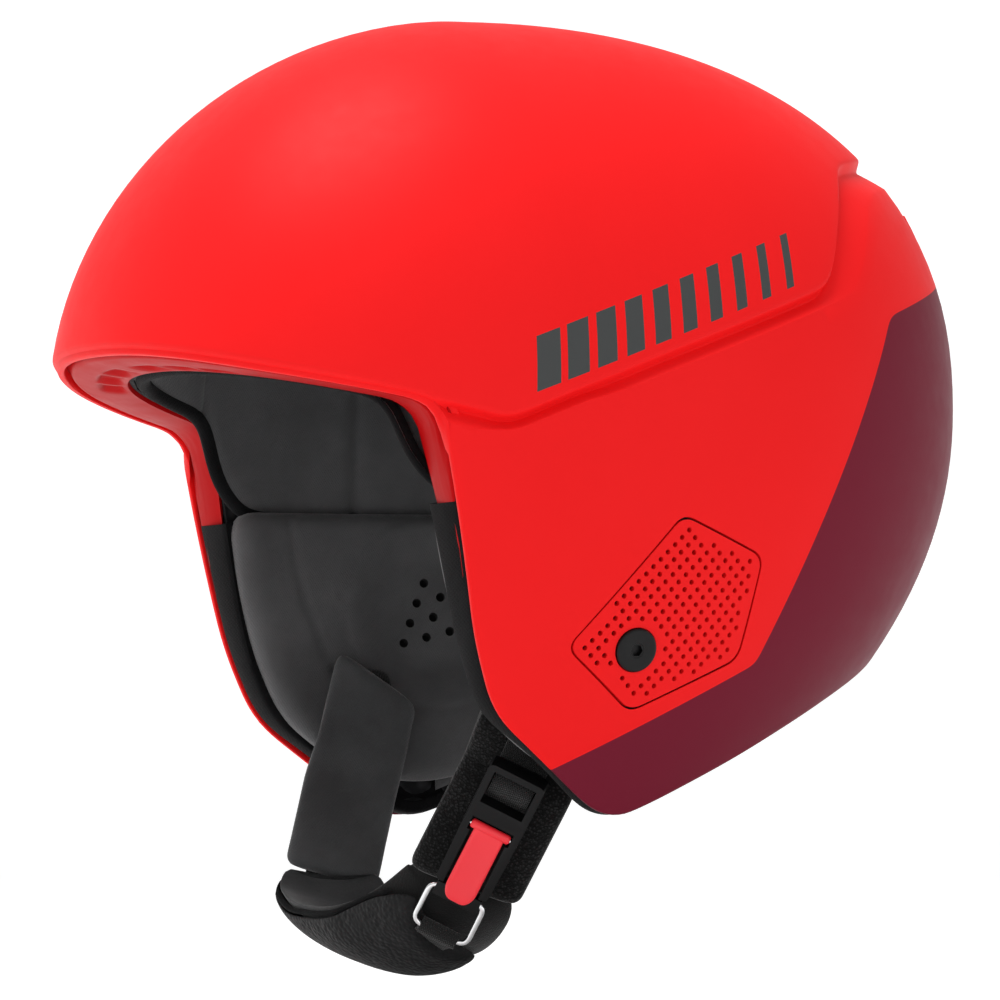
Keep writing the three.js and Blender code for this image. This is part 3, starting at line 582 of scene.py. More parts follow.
def plastic_look(name, color, low=0.38, high=0.5, grain=0.02, gloss=0.5):
    look = Look(name, color, 0.45, specular=gloss)
    look.rough(low, high, 5.0)
    look.bump(look.noise(0.3, 2.0), grain)
    return look.mat


def metal_look(name, color, low, high):
    look = Look(name, color, low, 1.0)
    look.rough(low, high, 4.0)
    look.bump(look.noise(0.5, 2.0), 0.002)
    return look.mat


def foam_look():
    look = Look("foam_beads", linear(40, 40, 42), 0.85, specular=0.3)
    beads = look.cells(3.2, "F1")
    look.color(look.mix(look.ramp(beads, 0.2, 0.7), linear(46, 46, 48), linear(22, 22, 24)))
    look.bump(look.math("MULTIPLY", beads, -1.0), 0.25)
    return look.mat


SHELL_LOOK, RIM_LOOK = shell_look(), rim_look()
KNIT, PILE = knit_look(), pile_look()
# Black knit for edge padding and piping. It is made darker still as painted shade, for the shaded
# edges round the face opening.
KNIT_BLACK_AND_SHADE = knit_look("edge_knit_black_and_shade", (12, 12, 13), (22, 22, 23), 0.04)
KNIT_STRAP = knit_look("sleeve_knit", (62, 62, 63), (78, 79, 80))
WEBBING, LEATHER, FOAM = webbing_look(), leather_look(), foam_look()
CUP_KNIT = cup_lining_look()
BLACK = plastic_look("black_plastic", linear(13, 13, 14), 0.34, 0.46, 0.02, 0.2)
RUBBER = plastic_look("rubber", linear(24, 24, 25), 0.6, 0.75, 0.03)
LEVER_RED = plastic_look("lever_red", linear(250, 44, 56), 0.28, 0.38, 0.006)
CHROME = metal_look("chrome_wire", (0.86, 0.87, 0.88, 1), 0.06, 0.12)
DARK_STEEL = plastic_look("black_oxide", linear(8, 8, 9), 0.36, 0.44, 0.01, 0.25)
BRASS = metal_look("brass", (0.62, 0.45, 0.18, 1), 0.25, 0.4)
# Near-black painted shade for the walls of the ear pads' holes, standing in for the shade inside
# them.
HOLE_SHADE = plastic_look("hole_painted_shade", linear(6, 6, 6), 0.9, 0.95, 0.0)

# ---- Shell ----

HALF_COLUMNS = 170
fine = np.linspace(0, np.pi, 3001)
walk = np.linalg.norm(np.diff(rim_point(fine, 0, 0), axis=0), axis=1)
walk = np.r_[0, np.cumsum(walk)]
share = 0.45 * fine / np.pi + 0.55 * walk / walk[-1]
half = np.interp(np.linspace(0, 1, HALF_COLUMNS + 1), share, fine)
ANGLES = np.r_[half, -half[-2:0:-1]]
COUNT = len(ANGLES)

STEP_DROP = np.array([-0.010, -0.004, -0.001, 0.0015, 0.005, 0.008, 0.0105, 0.013])
STEP_DEPTH = np.array([0.0, 0.10, 0.45, 1.0, 1.9, 2.65, 3.08, STEP])
LIP_START = 1.2  # how far above the edge the outer face turns into the lip
edge = level_of(edge_line(0), ANGLES)
low_edge = level_of(edge_line(LIP_START), ANGLES)
ridge = np.maximum(level_of(rounded(RIDGE, 5, False), ANGLES), low_edge + 0.004)
crease = level_of(rounded(CREASE, 8, False), ANGLES)
crease = np.clip(crease, edge, np.maximum(ridge - 0.03, edge))


def outer_depth(level):
    drop = ridge - level
    run = np.maximum(ridge - STEP_DROP[-1] - crease, 1e-4)
    trough = STEP * np.clip((level - crease) / run, 0, 1)
    return np.where(drop <= STEP_DROP[-1], np.interp(drop, STEP_DROP, STEP_DEPTH), trough)


levels = [1 + (ridge + 0.010 - 1) * t for t in np.linspace(0, 1, 31)[1:]]
levels += [ridge - d for d in STEP_DROP[1:]]
trough_top = ridge - STEP_DROP[-1]
levels += [trough_top + (crease - trough_top) * t for t in (0.2, 0.4, 0.6, 0.8, 0.93, 1.0)]
levels += [crease + (low_edge - crease) * t for t in np.linspace(0, 1, 27)[1:]]
MIN_ROW = 2e-4
below = len(levels) - 1
levels = [np.maximum(l, low_edge + MIN_ROW * (below - i)) for i, l in enumerate(levels)]
outer = [skin(ANGLES, l, outer_depth(l)) for l in levels]
LIP = outer_depth(low_edge)  # depth of the skin at the edge: the step dies into it
LIP_PROFILE = [
    (0.06, 0.55), (0.3, 0.14), (0.75, 0.0), (1.7, 0.0),
    (2.2, 0.14), (2.45, 0.6), (2.5, 1.5), (2.5, 6.0),
]
lip_rows = [rim_point(ANGLES, LIP + d, lift) for d, lift in LIP_PROFILE]
inner_start = level_of(edge_line(9.0), ANGLES, LIP + SHELL)


def inner_depth(level):
    def ramp(v):
        return np.clip(v / 0.04, 0, 1)

    return SHELL + STEP * ramp(ridge + 0.10 - level) * ramp(level - crease + 0.08)


inner = []
for t in np.linspace(0, 1, 25)[:-1]:
    level = inner_start + (1 - inner_start) * t
    deep = inner_depth(level)
    if t < 1 / 6:
        deep = np.maximum(deep, (LIP + SHELL) * (1 - t * 6))
    inner.append(skin(ANGLES, level, deep))
rows = np.array(outer + lip_rows + inner)
TOP = skin(0, 1, 0)
TOP_IN = skin(0, 1, SHELL)

cover_outline = rounded(COVER, 4.2, True, 6)
cover_middle = np.mean(COVER, axis=0)


def cover_grown(grow):
    out = cover_outline - cover_middle
    reach = np.linalg.norm(out, axis=1)[:, None]
    return cover_middle + out * (reach + grow) / reach


def inside_outline(points, y, z):
    inside = False
    n = len(points)
    for i in range(n):
        (y0, z0), (y1, z1) = points[i], points[(i + 1) % n]
        if (z0 > z) != (z1 > z) and y < y0 + (z - z0) * (y1 - y0) / (z1 - z0):
            inside = not inside
    return inside


def tube_tool(centre, axis, radius, low, high, sides=14):
    axis = axis / np.linalg.norm(axis)
    u = np.cross(axis, (0, 0, 1.0))
    u /= np.linalg.norm(u)
    ring = ring_of(sides, radius, u, np.cross(axis, u))
    points = np.vstack([centre + axis * low + ring, centre + axis * high + ring])
    return points, tube_faces(sides)


def merged(parts):
    points, faces, start = [], [], 0
    for p, f in parts:
        points.append(np.asarray(p, float))
        faces += [[v + start for v in face] for face in f]
        start += len(p)
    return np.vstack(points), faces


def skin_shaded(made, near=None):
    """Gives the loops on the outer skin the true skin's normals, so cuts don't show."""
    mesh = made.data

    def values(items, key, width=1, kind=float):
        read = np.zeros(len(items) * width, kind)
        items.foreach_get(key, read)
        return read.reshape(-1, width) if width > 1 else read

    co = values(mesh.vertices, "co", 3) / MM
    normal = values(mesh.polygons, "normal", 3)
    total = values(mesh.polygons, "loop_total", kind=int)
    vertex = values(mesh.loops, "vertex_index", kind=int)
    owner = np.repeat(np.arange(len(total)), total)
    p = co[vertex]
    want = skin_normal(p)
    ok = (normal[owner] * want).sum(1) > 0.93
    if near:
        (y0, y1), (z0, z1) = near
        ok &= (p[:, 1] > y0) & (p[:, 1] < y1) & (p[:, 2] > z0) & (p[:, 2] < z1)
    rest = 0.0 if near else normal[owner]
    mesh.normals_split_custom_set(np.where(ok[:, None], want, rest).tolist())


shell = make("shell", *tipped(rows, TOP, TOP_IN), None, SHELL_LOOK, None)
SIDES = (("left", 1), ("right", -1))
PITCH_Y, ROW_Y, ROW_Z, HOLE_R = 4.4, -2.25, 2.15, 0.8
HEAD_POCKET_R, SHANK_BORE_R, SCREW_CLEAR, HOLE_MARGIN = 6.75, 2.9, 8.6, 3.5
COVER_GAP = 0.75
for name, side in SIDES:
    cover = added(f"{name}_cover", shell.data.copy())
    x0, x1 = sorted((60 * side, 140 * side))
    carve(cover, *prism(cover_grown(-COVER_GAP), x0, x1), "INTERSECT")
    seat = side_point(*SCREW_AT, 0, side)
    out = skin_normal(seat)
    tools = [
        tube_tool(seat, out, HEAD_POCKET_R, -1.5, 6, 48),
        tube_tool(seat, out, SHANK_BORE_R, -8, -1.4, 24),
    ]
    safe = cover_grown(-HOLE_MARGIN)
    for j in range(-14, 15):
        for i in range(-14, 15):
            y = EAR_AT[0] + i * PITCH_Y + (j % 2) * -ROW_Y
            z = EAR_AT[1] + j * ROW_Z
            clear = math.hypot(y - SCREW_AT[0], z - SCREW_AT[1]) > SCREW_CLEAR
            if clear and inside_outline(safe, y, z):
                at = side_point(y, z, 0, side)
                tools.append(tube_tool(at, skin_normal(at), HOLE_R, -5, 2, 12))
    carve(cover, *merged(tools))
    cover.data.shade_smooth()
    skin_shaded(cover)
    dress(cover, "helmet", (f"{name}_ear_vent_cover",))
    carve(shell, *prism(cover_outline, x0, x1))
shell.data.shade_smooth()
shell.data.set_sharp_from_angle(angle=math.radians(42))
skin_shaded(shell, ((-40, 55), (-80, 5)))
dress(shell, "helmet", ("outer_shell",))

# ---- Rim and edge padding ----

edge_points = rim_point(ANGLES, 0, 0)
RIM_END = -9.0
lower = np.where((edge_points[:, 2] < RIM_END))[0]
first, last = lower[0], lower[-1]
level_edge = level_of(edge_line(2.0), ANGLES, 20.0)
reach_in = foam_inner(level_edge) - 1
taper = np.clip((edge_points[:, 2] - RIM_END) / 30, 0, 1) ** 0.6
SEAT = LIP + 2.3


def vent(angle, u):
    """Recesses in the underside of the brim, with ribs left between them."""
    made = np.zeros(len(angle))
    for middle, width in ((0.13, 0.075), (0.31, 0.07), (0.47, 0.06)):
        t = np.clip(1 - np.abs((np.abs(angle) - middle) / width) ** 6, 0, 1)
        made = np.maximum(made, t)
    band = np.clip(1 - abs((u - 0.68) / 0.24) ** 4, 0, 1)
    return made * band * 1.8


def sheet(name, rings, look, slot, replaces=(), sharp=50):
    """Rows of points as an open surface on the helmet."""
    points = np.array(rings)
    faces = grid_faces(*points.shape[:2], False)
    return make(name, points.reshape(-1, 3), faces, "helmet", look, slot, replaces, sharp)


def strip(name, order, profile, look, slot, replaces):
    sheet(name, [rim_rows(*spot)[order] for spot in profile], look, slot, replaces)


def rim_rows(depth, lift):
    """Rim points where both the depth and the lift may change round the helmet."""
    lift = np.broadcast_to(lift, ANGLES.shape)
    steps = np.unique(np.round(lift, 1))
    if len(steps) == 1:
        return rim_point(ANGLES, depth, float(steps[0]))
    low, high = steps[0], steps[-1]
    a, b = rim_point(ANGLES, depth, low), rim_point(ANGLES, depth, high)
    t = ((lift - low) / (high - low))[:, None]
    return a + (b - a) * t


around_front = np.r_[np.arange(last - 1, COUNT), np.arange(0, first + 2)]
limit = SEAT + 0.6 + (reach_in - SEAT - 0.6) * taper
RIM_START = [(0, 4.0), (0.2, 2.9), (1.2, 2.7), (1.8, 1.6), (2.2, 0.8)]
rim_profile = [(SEAT + d, lift) for d, lift in RIM_START]
body_start = SEAT + 2.6
body_end = np.maximum(limit, body_start + 0.4)
for u in np.linspace(0, 1, 19):
    bulge = 0.35 + 1.3 * u**2 - 0.6 * math.sin(math.pi * u) * 0.5
    recess = vent(ANGLES, u) * (taper > 0.9)
    rim_profile.append((body_start + (body_end - body_start) * u, bulge + recess))
rim_profile += [(body_end + 0.4, 2.4), (body_end + 0.5, 4.5), (body_end + 0.5, 8.0)]
strip("face_rim_moulding", around_front, rim_profile, RIM_LOOK, "rim_red", ("face_rim",))


def by_the_strap(y):
    """1 where the buckle swings past the edge, falling to 0 round it."""
    return np.exp(-(((y + 22) / 18) ** 2))


STRAP_RELIEF, STRAP_NARROWING = 1.6, 2.8
around_back = np.arange(first - 3, last + 4)
trim_profile = [(SEAT - 0.1, 4.0), (SEAT, 1.9)]
for u in np.linspace(0, 1, 15):
    crown = 1.4 - 1.4 * math.sin(math.pi * u) ** 0.6
    crown = crown + STRAP_RELIEF * by_the_strap(edge_points[:, 1])
    trim_profile.append((SEAT + 0.2 + (reach_in + 0.8 - SEAT) * u, crown))
trim_profile += [(reach_in + 1.3, 3.0), (reach_in + 1.4, 9.0)]
strip("lower_edge_padding", around_back, trim_profile, KNIT_BLACK_AND_SHADE, "rubber", ("neck_edge_trim",))

side_edge = edge_line(0)
in_reach = (side_edge[:, 0] > -60) & (side_edge[:, 0] < 70) & (side_edge[:, 1] < 5)
side_edge = side_edge[in_reach]
fine_edge = np.linspace(0, 1, 140)
run = np.r_[0, np.cumsum(np.linalg.norm(np.diff(side_edge, axis=0), axis=1))]
run = run / run[-1]
side_edge = np.stack([np.interp(fine_edge, run, side_edge[:, k]) for k in (0, 1)], 1)
side_edge = side_edge[side_edge[:, 1] < -4.5]
# Black strips along the sides of the face opening. They are edge padding and also the painted shade
# at the ear pads' front edges.
for name, side in SIDES:
    rings = []
    beside_strap = by_the_strap(side_edge[:, 0])
    full = foam_inner(level_at(side_edge[:, 1])) + 3 - STRAP_NARROWING * beside_strap
    for u in np.r_[-0.05, np.linspace(0, 1, 18), 1.05]:
        inside = 4.0 if not 0 <= u <= 1 else 1.1 - 1.35 * math.sin(math.pi * u) ** 0.45
        line = shifted(side_edge, inside)
        line[:, 1] += STRAP_RELIEF * beside_strap
        deep = 3.0 + (full - 3.0) * np.clip(u, 0, 1)
        rings.append(side_point(line[:, 0], line[:, 1], deep, side))
    sheet(f"{name}_edge_padding", rings, KNIT_BLACK_AND_SHADE, "rubber", sharp=60)

# ---- Head liner and neck roll ----

LINER_LOW = [
    (-170, 53.5), (-136, 45.5), (-111, 38), (-93, 33.8), (-66.5, 27.4), (-60, 8), (-52, -1),
    (-43, -3), (46, -3), (62, -30), (110, -33), (170, -34),
]


def liner_depth(level):
    return foam_inner(level) + LINER


def soft_edge(distance, reach):
    """1 inside a pad, falling to 0 at its edge over a reach."""
    t = np.clip(distance / reach, 0, 1)
    return np.sqrt(np.clip(1 - (1 - t) ** 2, 0, 1))


def seams(angle, places, width):
    made = np.zeros(np.shape(angle))
    for place in places:
        made = np.maximum(made, np.exp(-(((np.abs(angle) - place) / width) ** 2)))
    return made


liner_low = level_of(rounded(LINER_LOW, 8, False), ANGLES, liner_depth)
rings = []
for depth_extra in (-5.4, -3.0):
    rings.append(skin(ANGLES, liner_low, liner_depth(liner_low) + depth_extra))
for t in np.r_[0.0, 0.006, 0.014, 0.025, 0.04, 0.06, np.linspace(0.085, 1, 40)[:-1]]:
    level = liner_low + (1 - liner_low) * t
    puff = soft_edge(t, 0.05) * 1.9 - 1.9
    groove = 1.5 * seams(ANGLES, (0.95, 1.62, 2.35), 0.022) * (1 - t) ** 0.3
    ring_seam = 1.2 * np.exp(-(((t - 0.52) / 0.012) ** 2))
    rings.append(skin(ANGLES, level, liner_depth(level) + puff - groove - ring_seam))
crown_tip = skin(0, 1, FOAM_DEPTH + LINER)
points, faces = tipped(rings[::-1], crown_tip, rings[0].mean(0))
liner = make("head_liner_knit", points, faces, "helmet", KNIT, "knit", ("head_liner",), 70)
bm = bmesh.new()  # the cap over the head's side comes off
bm.from_mesh(liner.data)
bm.verts.ensure_lookup_table()
bmesh.ops.delete(bm, geom=[bm.verts[len(bm.verts) - 1]], context="VERTS")
bm.to_mesh(liner.data)
bm.free()


def cord_tube(name, path, radius, body, look, slot, closed=False, sides=10, replaces=()):
    path = np.asarray(path, float)
    n = len(path)
    ahead = np.roll(path, -1, 0) - np.roll(path, 1, 0)
    if not closed:
        ahead[0], ahead[-1] = path[1] - path[0], path[-1] - path[-2]
    ahead /= np.linalg.norm(ahead, axis=1)[:, None]
    normal = np.cross(ahead[0], (0.2, 0.3, 0.93))
    rings = []
    for i in range(n):
        normal = normal - ahead[i] * normal.dot(ahead[i])
        normal /= np.linalg.norm(normal)
        other = np.cross(ahead[i], normal)
        r = radius if closed else radius * min(1, 0.3 + min(i, n - 1 - i) * 0.35)
        rings.append(path[i] + ring_of(sides, r, normal, other))
    return loft(name, rings, body, look, slot, replaces, closed=closed, sharp=60)


hem = skin(ANGLES, liner_low, liner_depth(liner_low) - 2.6)
cord_tube("head_liner_piping", hem, 2.2, "helmet", KNIT_BLACK_AND_SHADE, "knit", closed=True, sides=16)

ROLL_START, ROLL_COUNT = 1.92, 150
roll_angles = np.linspace(ROLL_START, 2 * np.pi - ROLL_START, ROLL_COUNT)


def roll_depth(level):
    return foam_inner(level) + 4


roll_top = level_of([(-170, -38), (170, -41)], roll_angles, roll_depth)
roll_low = level_of(edge_line(5.5), roll_angles, roll_depth)
rings = []
order = np.arange(ROLL_COUNT)
ends = np.clip(np.minimum(order, order[::-1]) / 14, 0.05, 1) ** 0.5
for turn in np.linspace(0, 2 * np.pi, 33)[:-1]:
    middle, reach = (roll_top + roll_low) / 2, (roll_top - roll_low) / 2
    level = middle + reach * np.sign(math.cos(turn)) * abs(math.cos(turn)) ** 0.55
    puff = math.copysign(abs(math.sin(turn)) ** 0.7, math.sin(turn))
    deep = foam_inner(level) + 3.2 + 3.6 * puff * ends
    wrinkle = 0.35 * np.sin(roll_angles * 46) * max(puff, 0)
    rings.append(skin(roll_angles, level, deep + wrinkle))
rings = np.array(rings).transpose(1, 0, 2)
neck = loft("neck_roll_knit", rings, "helmet", KNIT, "knit", ("neck_roll_pad",), sharp=70)

# ---- Ear pads ----

PAD_OUTLINE = [
    (-56.5, -1.5), (45, -1), (57, -36), (42, -74), (8, -85.5), (-13, -84), (-27, -76), (-40, -65),
    (-48.5, -43), (-53.5, -22),
]


def resampled(points, count):
    p = np.vstack([points, points[:1]])
    d = np.r_[0, np.cumsum(np.linalg.norm(np.diff(p, axis=0), axis=1))]
    at = np.linspace(0, d[-1], count + 1)[:-1]
    return np.stack([np.interp(at, d, p[:, k]) for k in range(p.shape[1])], 1)


pad_outline = resampled(rounded(PAD_OUTLINE, 9, True, 5), 150)
PAD_MIDDLE = np.array([6.0, -37.0])
PAD_PROFILE = [
    *((f, 11.3 - 0.9 * f**4) for f in np.linspace(0.0, 0.86, 30)[1:]),
    (0.885, 10.6), (0.91, 10.3), (0.93, 9.9), (0.95, 9.3), (0.967, 8.5), (0.98, 7.6),
    (0.991, 6.5), (0.998, 5.2), (1.0, 3.8), (1.0, 2.2), (0.996, 0.9), (0.985, 0.1),
    *((f, -0.2) for f in (0.94, 0.8, 0.64, 0.48, 0.32, 0.16, 0.04)),
]


def pad_point(yz, height, side):
    y, z = yz[..., 0], yz[..., 1]
    base = foam_inner(level_at(z)) + 1.0
    return side_point(y, z, base + height, side)


def pad_height(yz, height):
    """Lowers the pad's face into a bowl over the ear, with a seam round it."""
    away = np.hypot(yz[..., 0] - EAR_AT[0], yz[..., 1] - EAR_AT[1])
    bowl = np.clip((29.0 - away) / 15.0, 0, 1)
    bowl = bowl * bowl * (3 - 2 * bowl)
    seam = np.exp(-(((away - 30.5) / 0.8) ** 2))
    up = yz[..., 1] + 32
    front_seam = np.exp(-(((yz[..., 0] + 31 + 0.36 * up - 0.0046 * up**2) / 0.9) ** 2))
    face = np.clip((height - 8.5) / 1.5, 0, 1)
    soft = 0.35 * np.sin(yz[..., 0] * 0.21 + 1.0) * np.sin(yz[..., 1] * 0.17)
    return height - face * (bowl * 5.4 + seam * 0.6 + front_seam * 1.0 + soft)


for name, side in SIDES:
    rings = []
    for f, height in PAD_PROFILE:
        yz = PAD_MIDDLE + (pad_outline - PAD_MIDDLE) * f
        rings.append(pad_point(yz, pad_height(yz, np.full(len(yz), height)), side))
    pad = loft(f"{name}_ear_pad_knit", rings, "helmet", KNIT, "knit", (f"{name}_ear_pad",), sharp=70)
    tools = []
    for a, b in ((0, 0), (1, 0), (2, 0), (0, 1), (1, 1), (2, 1), (0, 2), (1, 2), (0, 3)):
        yz = np.array([9.6 + a * 5.1 - b * 2.4, -22.8 - a * 4.4 - b * 6.3])
        at = pad_point(yz, pad_height(yz, np.array(11.3)), side)
        tools.append(tube_tool(at, skin_normal(at), 1.4, -3.0, 2.4, 20))
    # The holes' walls take near-black painted shade, for the shade inside the holes.
    carve(pad, *merged(tools), look=HOLE_SHADE)
    pad.data.set_sharp_from_angle(angle=math.radians(60))

# ---- Chin guard screws, inserts, hidden metal ----


def local_frame(at, out, up=(0, 0, 1.0)):
    z = out / np.linalg.norm(out)
    x = np.cross(up, z)
    x /= np.linalg.norm(x)
    return np.stack([x, np.cross(z, x), z], 1), np.asarray(at, float)


def turned(profile, sides, turn_frame):
    axes, at = turn_frame
    turn = around(sides)
    ring = np.stack([np.cos(turn), np.sin(turn)], 1)
    return [np.c_[ring * r, np.full(sides, z)] @ axes.T + at for r, z in profile]


SOCKET_R = 1.85
for name, side in SIDES:
    seat = side_point(*SCREW_AT, 0, side)
    axes = local_frame(seat, skin_normal(seat))
    profile = [
        (2.5, -11), (2.5, -1.1), (6.1, -1.1), (6.45, -0.7), (6.5, 0.2), (6.42, 0.5), (6.2, 0.75),
        (5.8, 0.88), (5.2, 0.9), (2.4, 0.9), (2.2, 0.84), (2.1, 0.7),
    ]
    screw = loft(
        f"{name}_guard_screw", turned(profile, 64, axes), f"{name}_screw",
        DARK_STEEL, "black_steel", (f"{name}_chin_guard_screw",),
    )
    carve(screw, *tube_tool(seat, skin_normal(seat), SOCKET_R, -0.8, 4, 6))
    screw.data.set_sharp_from_angle(angle=math.radians(35))
for node, look in (
    ("left_chin_guard_insert", BRASS), ("right_chin_guard_insert", BRASS),
    ("left_strap_anchor", CHROME), ("right_strap_anchor", CHROME),
    ("eps_liner", FOAM), ("lever_spring", CHROME), ("chin_cup_webbing", WEBBING),
):
    mesh = frame["nodes"][node].data
    mesh.materials.clear()
    mesh.materials.append(look)

# ---- Straps ----


def unit(v):
    v = np.asarray(v, float)
    return v / np.linalg.norm(v)


class Strap:
    def __init__(self, at, along, across):
        self.at, self.x = np.array(at, float), unit(along)
        self.z = unit(np.cross(self.x, across))
        self.y = np.cross(self.z, self.x)

    def __call__(self, x, y=0.0, z=0.0):
        return self.at + self.x * x + self.y * y + self.z * z


LEFT = Strap((66, -20.3, -79.5), (-0.542, -0.217, -0.813), (0.347, 0.82, -0.45))
RIGHT = Strap((-64, -22, -83), (0.489, -0.386, -0.782), (-0.304, -0.92, 0.264))


def catmull(points, count):
    """A smooth curve through the points, evenly sampled."""
    p = np.asarray(points, float)
    p = np.vstack([2 * p[0] - p[1], p, 2 * p[-1] - p[-2]])
    made = []
    for i in range(1, len(p) - 2):
        p0, p1, p2, p3 = p[i - 1 : i + 3]
        pairs = ((p0, p1), (p1, p2), (p2, p3))
        t01, t12, t23 = (max(np.linalg.norm(b - a), 1e-4) ** 0.5 for a, b in pairs)
        m1 = p2 - p1 + t12 * ((p1 - p0) / t01 - (p2 - p0) / (t01 + t12))
        m2 = p2 - p1 + t12 * ((p3 - p2) / t23 - (p3 - p1) / (t12 + t23))
        t = np.linspace(0, 1, 24, endpoint=False)[:, None]
        start = (2 * t**3 - 3 * t**2 + 1) * p1 + (t**3 - 2 * t**2 + t) * m1
        made.append(start + (3 * t**2 - 2 * t**3) * p2 + (t**3 - t**2) * m2)
    made = np.vstack([*made, p[-2][None]])
    d = np.r_[0, np.cumsum(np.linalg.norm(np.diff(made, axis=0), axis=1))]
    at = np.linspace(0, d[-1], count)
    return np.stack([np.interp(at, d, made[:, k]) for k in range(3)], 1)


def superellipse(half_width, half_height, sides, power_v=6.0, power_w=2.6):
    turn = (np.arange(sides) + 0.5) * 2 * np.pi / sides
    c, s = np.cos(turn), np.sin(turn)
    v = half_width * np.sign(c) * np.abs(c) ** (2 / power_v)
    w = half_height * np.sign(s) * np.abs(s) ** (2 / power_w)
    return np.stack([v, w], 1)


def ribbon(path, across, section_at):
    """Rings along a path: section_at(t) gives each ring's (across, outwards) points."""
    n = len(path)
    rings = []
    for i, p in enumerate(path):
        t = i / (n - 1)
        ahead = unit(path[min(i + 1, n - 1)] - path[max(i - 1, 0)])
        out = unit(np.cross(ahead, across(t)))
        beside = np.cross(out, ahead)
        s = section_at(t)
        ring = p + s[:, :1] * beside + s[:, 1:2] * out
        rings.append(ring + s[:, 2:] * ahead if s.shape[1] > 2 else ring)
    return rings


def strap_line(strap, side, top, length):
    """The path of a strap from inside the helmet, over the fold, to its lower end."""
    fold = strap(-0.6)
    up = unit(np.array([side * 70, -12, -53]) - fold)
    a, b = strap(0) + up * BEND, strap(BEND)
    t = np.linspace(0, 1, 9)[:, None]
    turn = (1 - t) ** 2 * a + 2 * t * (1 - t) * strap(0) + t * t * b
    path = np.vstack([strap(0) + up * top, turn, strap(length)])
    return path, up


def rounded_ends(t, length, reach, power=2.4):
    d = min(t, 1 - t) * length
    return (1 - (1 - min(1, d / reach)) ** power) ** (1 / power) if d < reach else 1.0


STRAPS = {
    "left": (LEFT, 1, 44.0, 34.5, 5.4, -2.8, PILE, "loop_pile"),
    "right": (RIGHT, -1, 40.5, 29.0, 5.4, -2.5, KNIT_STRAP, "knit"),
}
STRAP_TOP = 27.0  # length of each strap above the fold at the edge
BEND = 9.0  # how far the bend reaches on each side of the fold
WEB_LEAD, WEB_SHORT = [(79.9, -18.5, -47), (78, -16, -48.5), (74, -13, -50.5)], 3
WEB_HALF, WEB_THICK_HALF, WEB_STAND = 7.5, 0.68, 0.95
# How far each pad's front edge runs past its middle, at its top and its lower end.
SLANTS = {"left": (0.0, 4.0), "right": (-9.0, 0.0)}
for name, (strap, side, length, width, thick, middle, look, slot) in STRAPS.items():
    path, up = strap_line(strap, side, STRAP_TOP, length + 0.5)
    path = catmull(path, 96)
    total = STRAP_TOP + length
    top_across = strap.y * np.array([0.2, 1, 1])
    fold_share = STRAP_TOP / total

    def across(t, strap=strap, top_across=top_across, fold_share=fold_share):
        w = np.clip((t - fold_share + 0.1) / 0.2, 0, 1)
        return unit(top_across) * (1 - w) + strap.y * w

    def section(t, total=total, width=width, thick=thick, middle=middle, slants=SLANTS[name]):
        end = max(rounded_ends(t, total, 4.5), 0.12)
        flat = superellipse(width / 2 * (0.78 + 0.22 * end), thick / 2 * (0.35 + 0.65 * end), 72)
        v = flat[:, 0] / width
        lump = 0.35 * np.sin(t * 9 + v * 4 + 1) + 0.2 * np.sin(t * 21 - v * 5)
        flat[:, 1] += middle + lump * np.sign(flat[:, 1])
        at_top, at_end = max(1 - t / 0.35, 0), max(1 - (1 - t) / 0.35, 0)
        slant = slants[0] * (v + 0.5) * at_top + slants[1] * (0.5 - v) * at_end
        return np.c_[flat, slant]

    bend_start, bend_end = tuple((strap(0) + up * BEND) * MM), tuple(strap(BEND) * MM)
    pad = loft(
        f"{name}_strap_padding", ribbon(path, across, section), None,
        look, slot, (f"{name}_strap_pad", f"{name}_strap_pad_top"), sharp=70,
    )
    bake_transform(pad)
    end = length - WEB_SHORT if side > 0 else length
    line, _ = strap_line(strap, side, STRAP_TOP - 0.5, end)
    web_path = catmull(np.vstack([[(side * x, y, z) for x, y, z in WEB_LEAD], line]), 110)

    def web_across(t, across=across):
        return across(np.clip((t - 0.22) / 0.78, 0, 1))

    def web_section(t):
        return superellipse(WEB_HALF, WEB_THICK_HALF, 28, 9.0, 4.0) + [0, WEB_STAND]

    web = loft(
        f"{name}_strap_web", ribbon(web_path, web_across, web_section), None,
        WEBBING, "webbing", (f"{name}_strap_webbing", f"{name}_anchor_webbing"), sharp=50,
    )
    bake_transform(web)

# ---- Buckle ----

bevelled("buckle_housing", "buckle_frame", BLACK, 0.7, 3)
bevelled("buckle_tongue", "buckle_tongue_moulding", BLACK, 0.5, 3)


def in_strap(strap, points):
    points = np.asarray(points, float)
    return strap.at + points[:, :1] * strap.x + points[:, 1:2] * strap.y + points[:, 2:] * strap.z


def rod(name, place, half, radius, round_end, body, look, slot, replaces=()):
    """A round bar with softened ends; place maps (along, two ways across) to a point."""
    turn = around(28)
    inner, outer = radius - round_end, half - round_end
    rings = [
        place(np.full(28, x), r * np.cos(turn), r * np.sin(turn))
        for x, r in ((-half, inner), (-outer, radius), (outer, radius), (half, inner))
    ]
    loft(name, rings, body, look, slot, replaces, sharp=50)


def across_strap(x, z):
    return lambda along, a, b: in_strap(LEFT, np.c_[x + a, along, z + b])


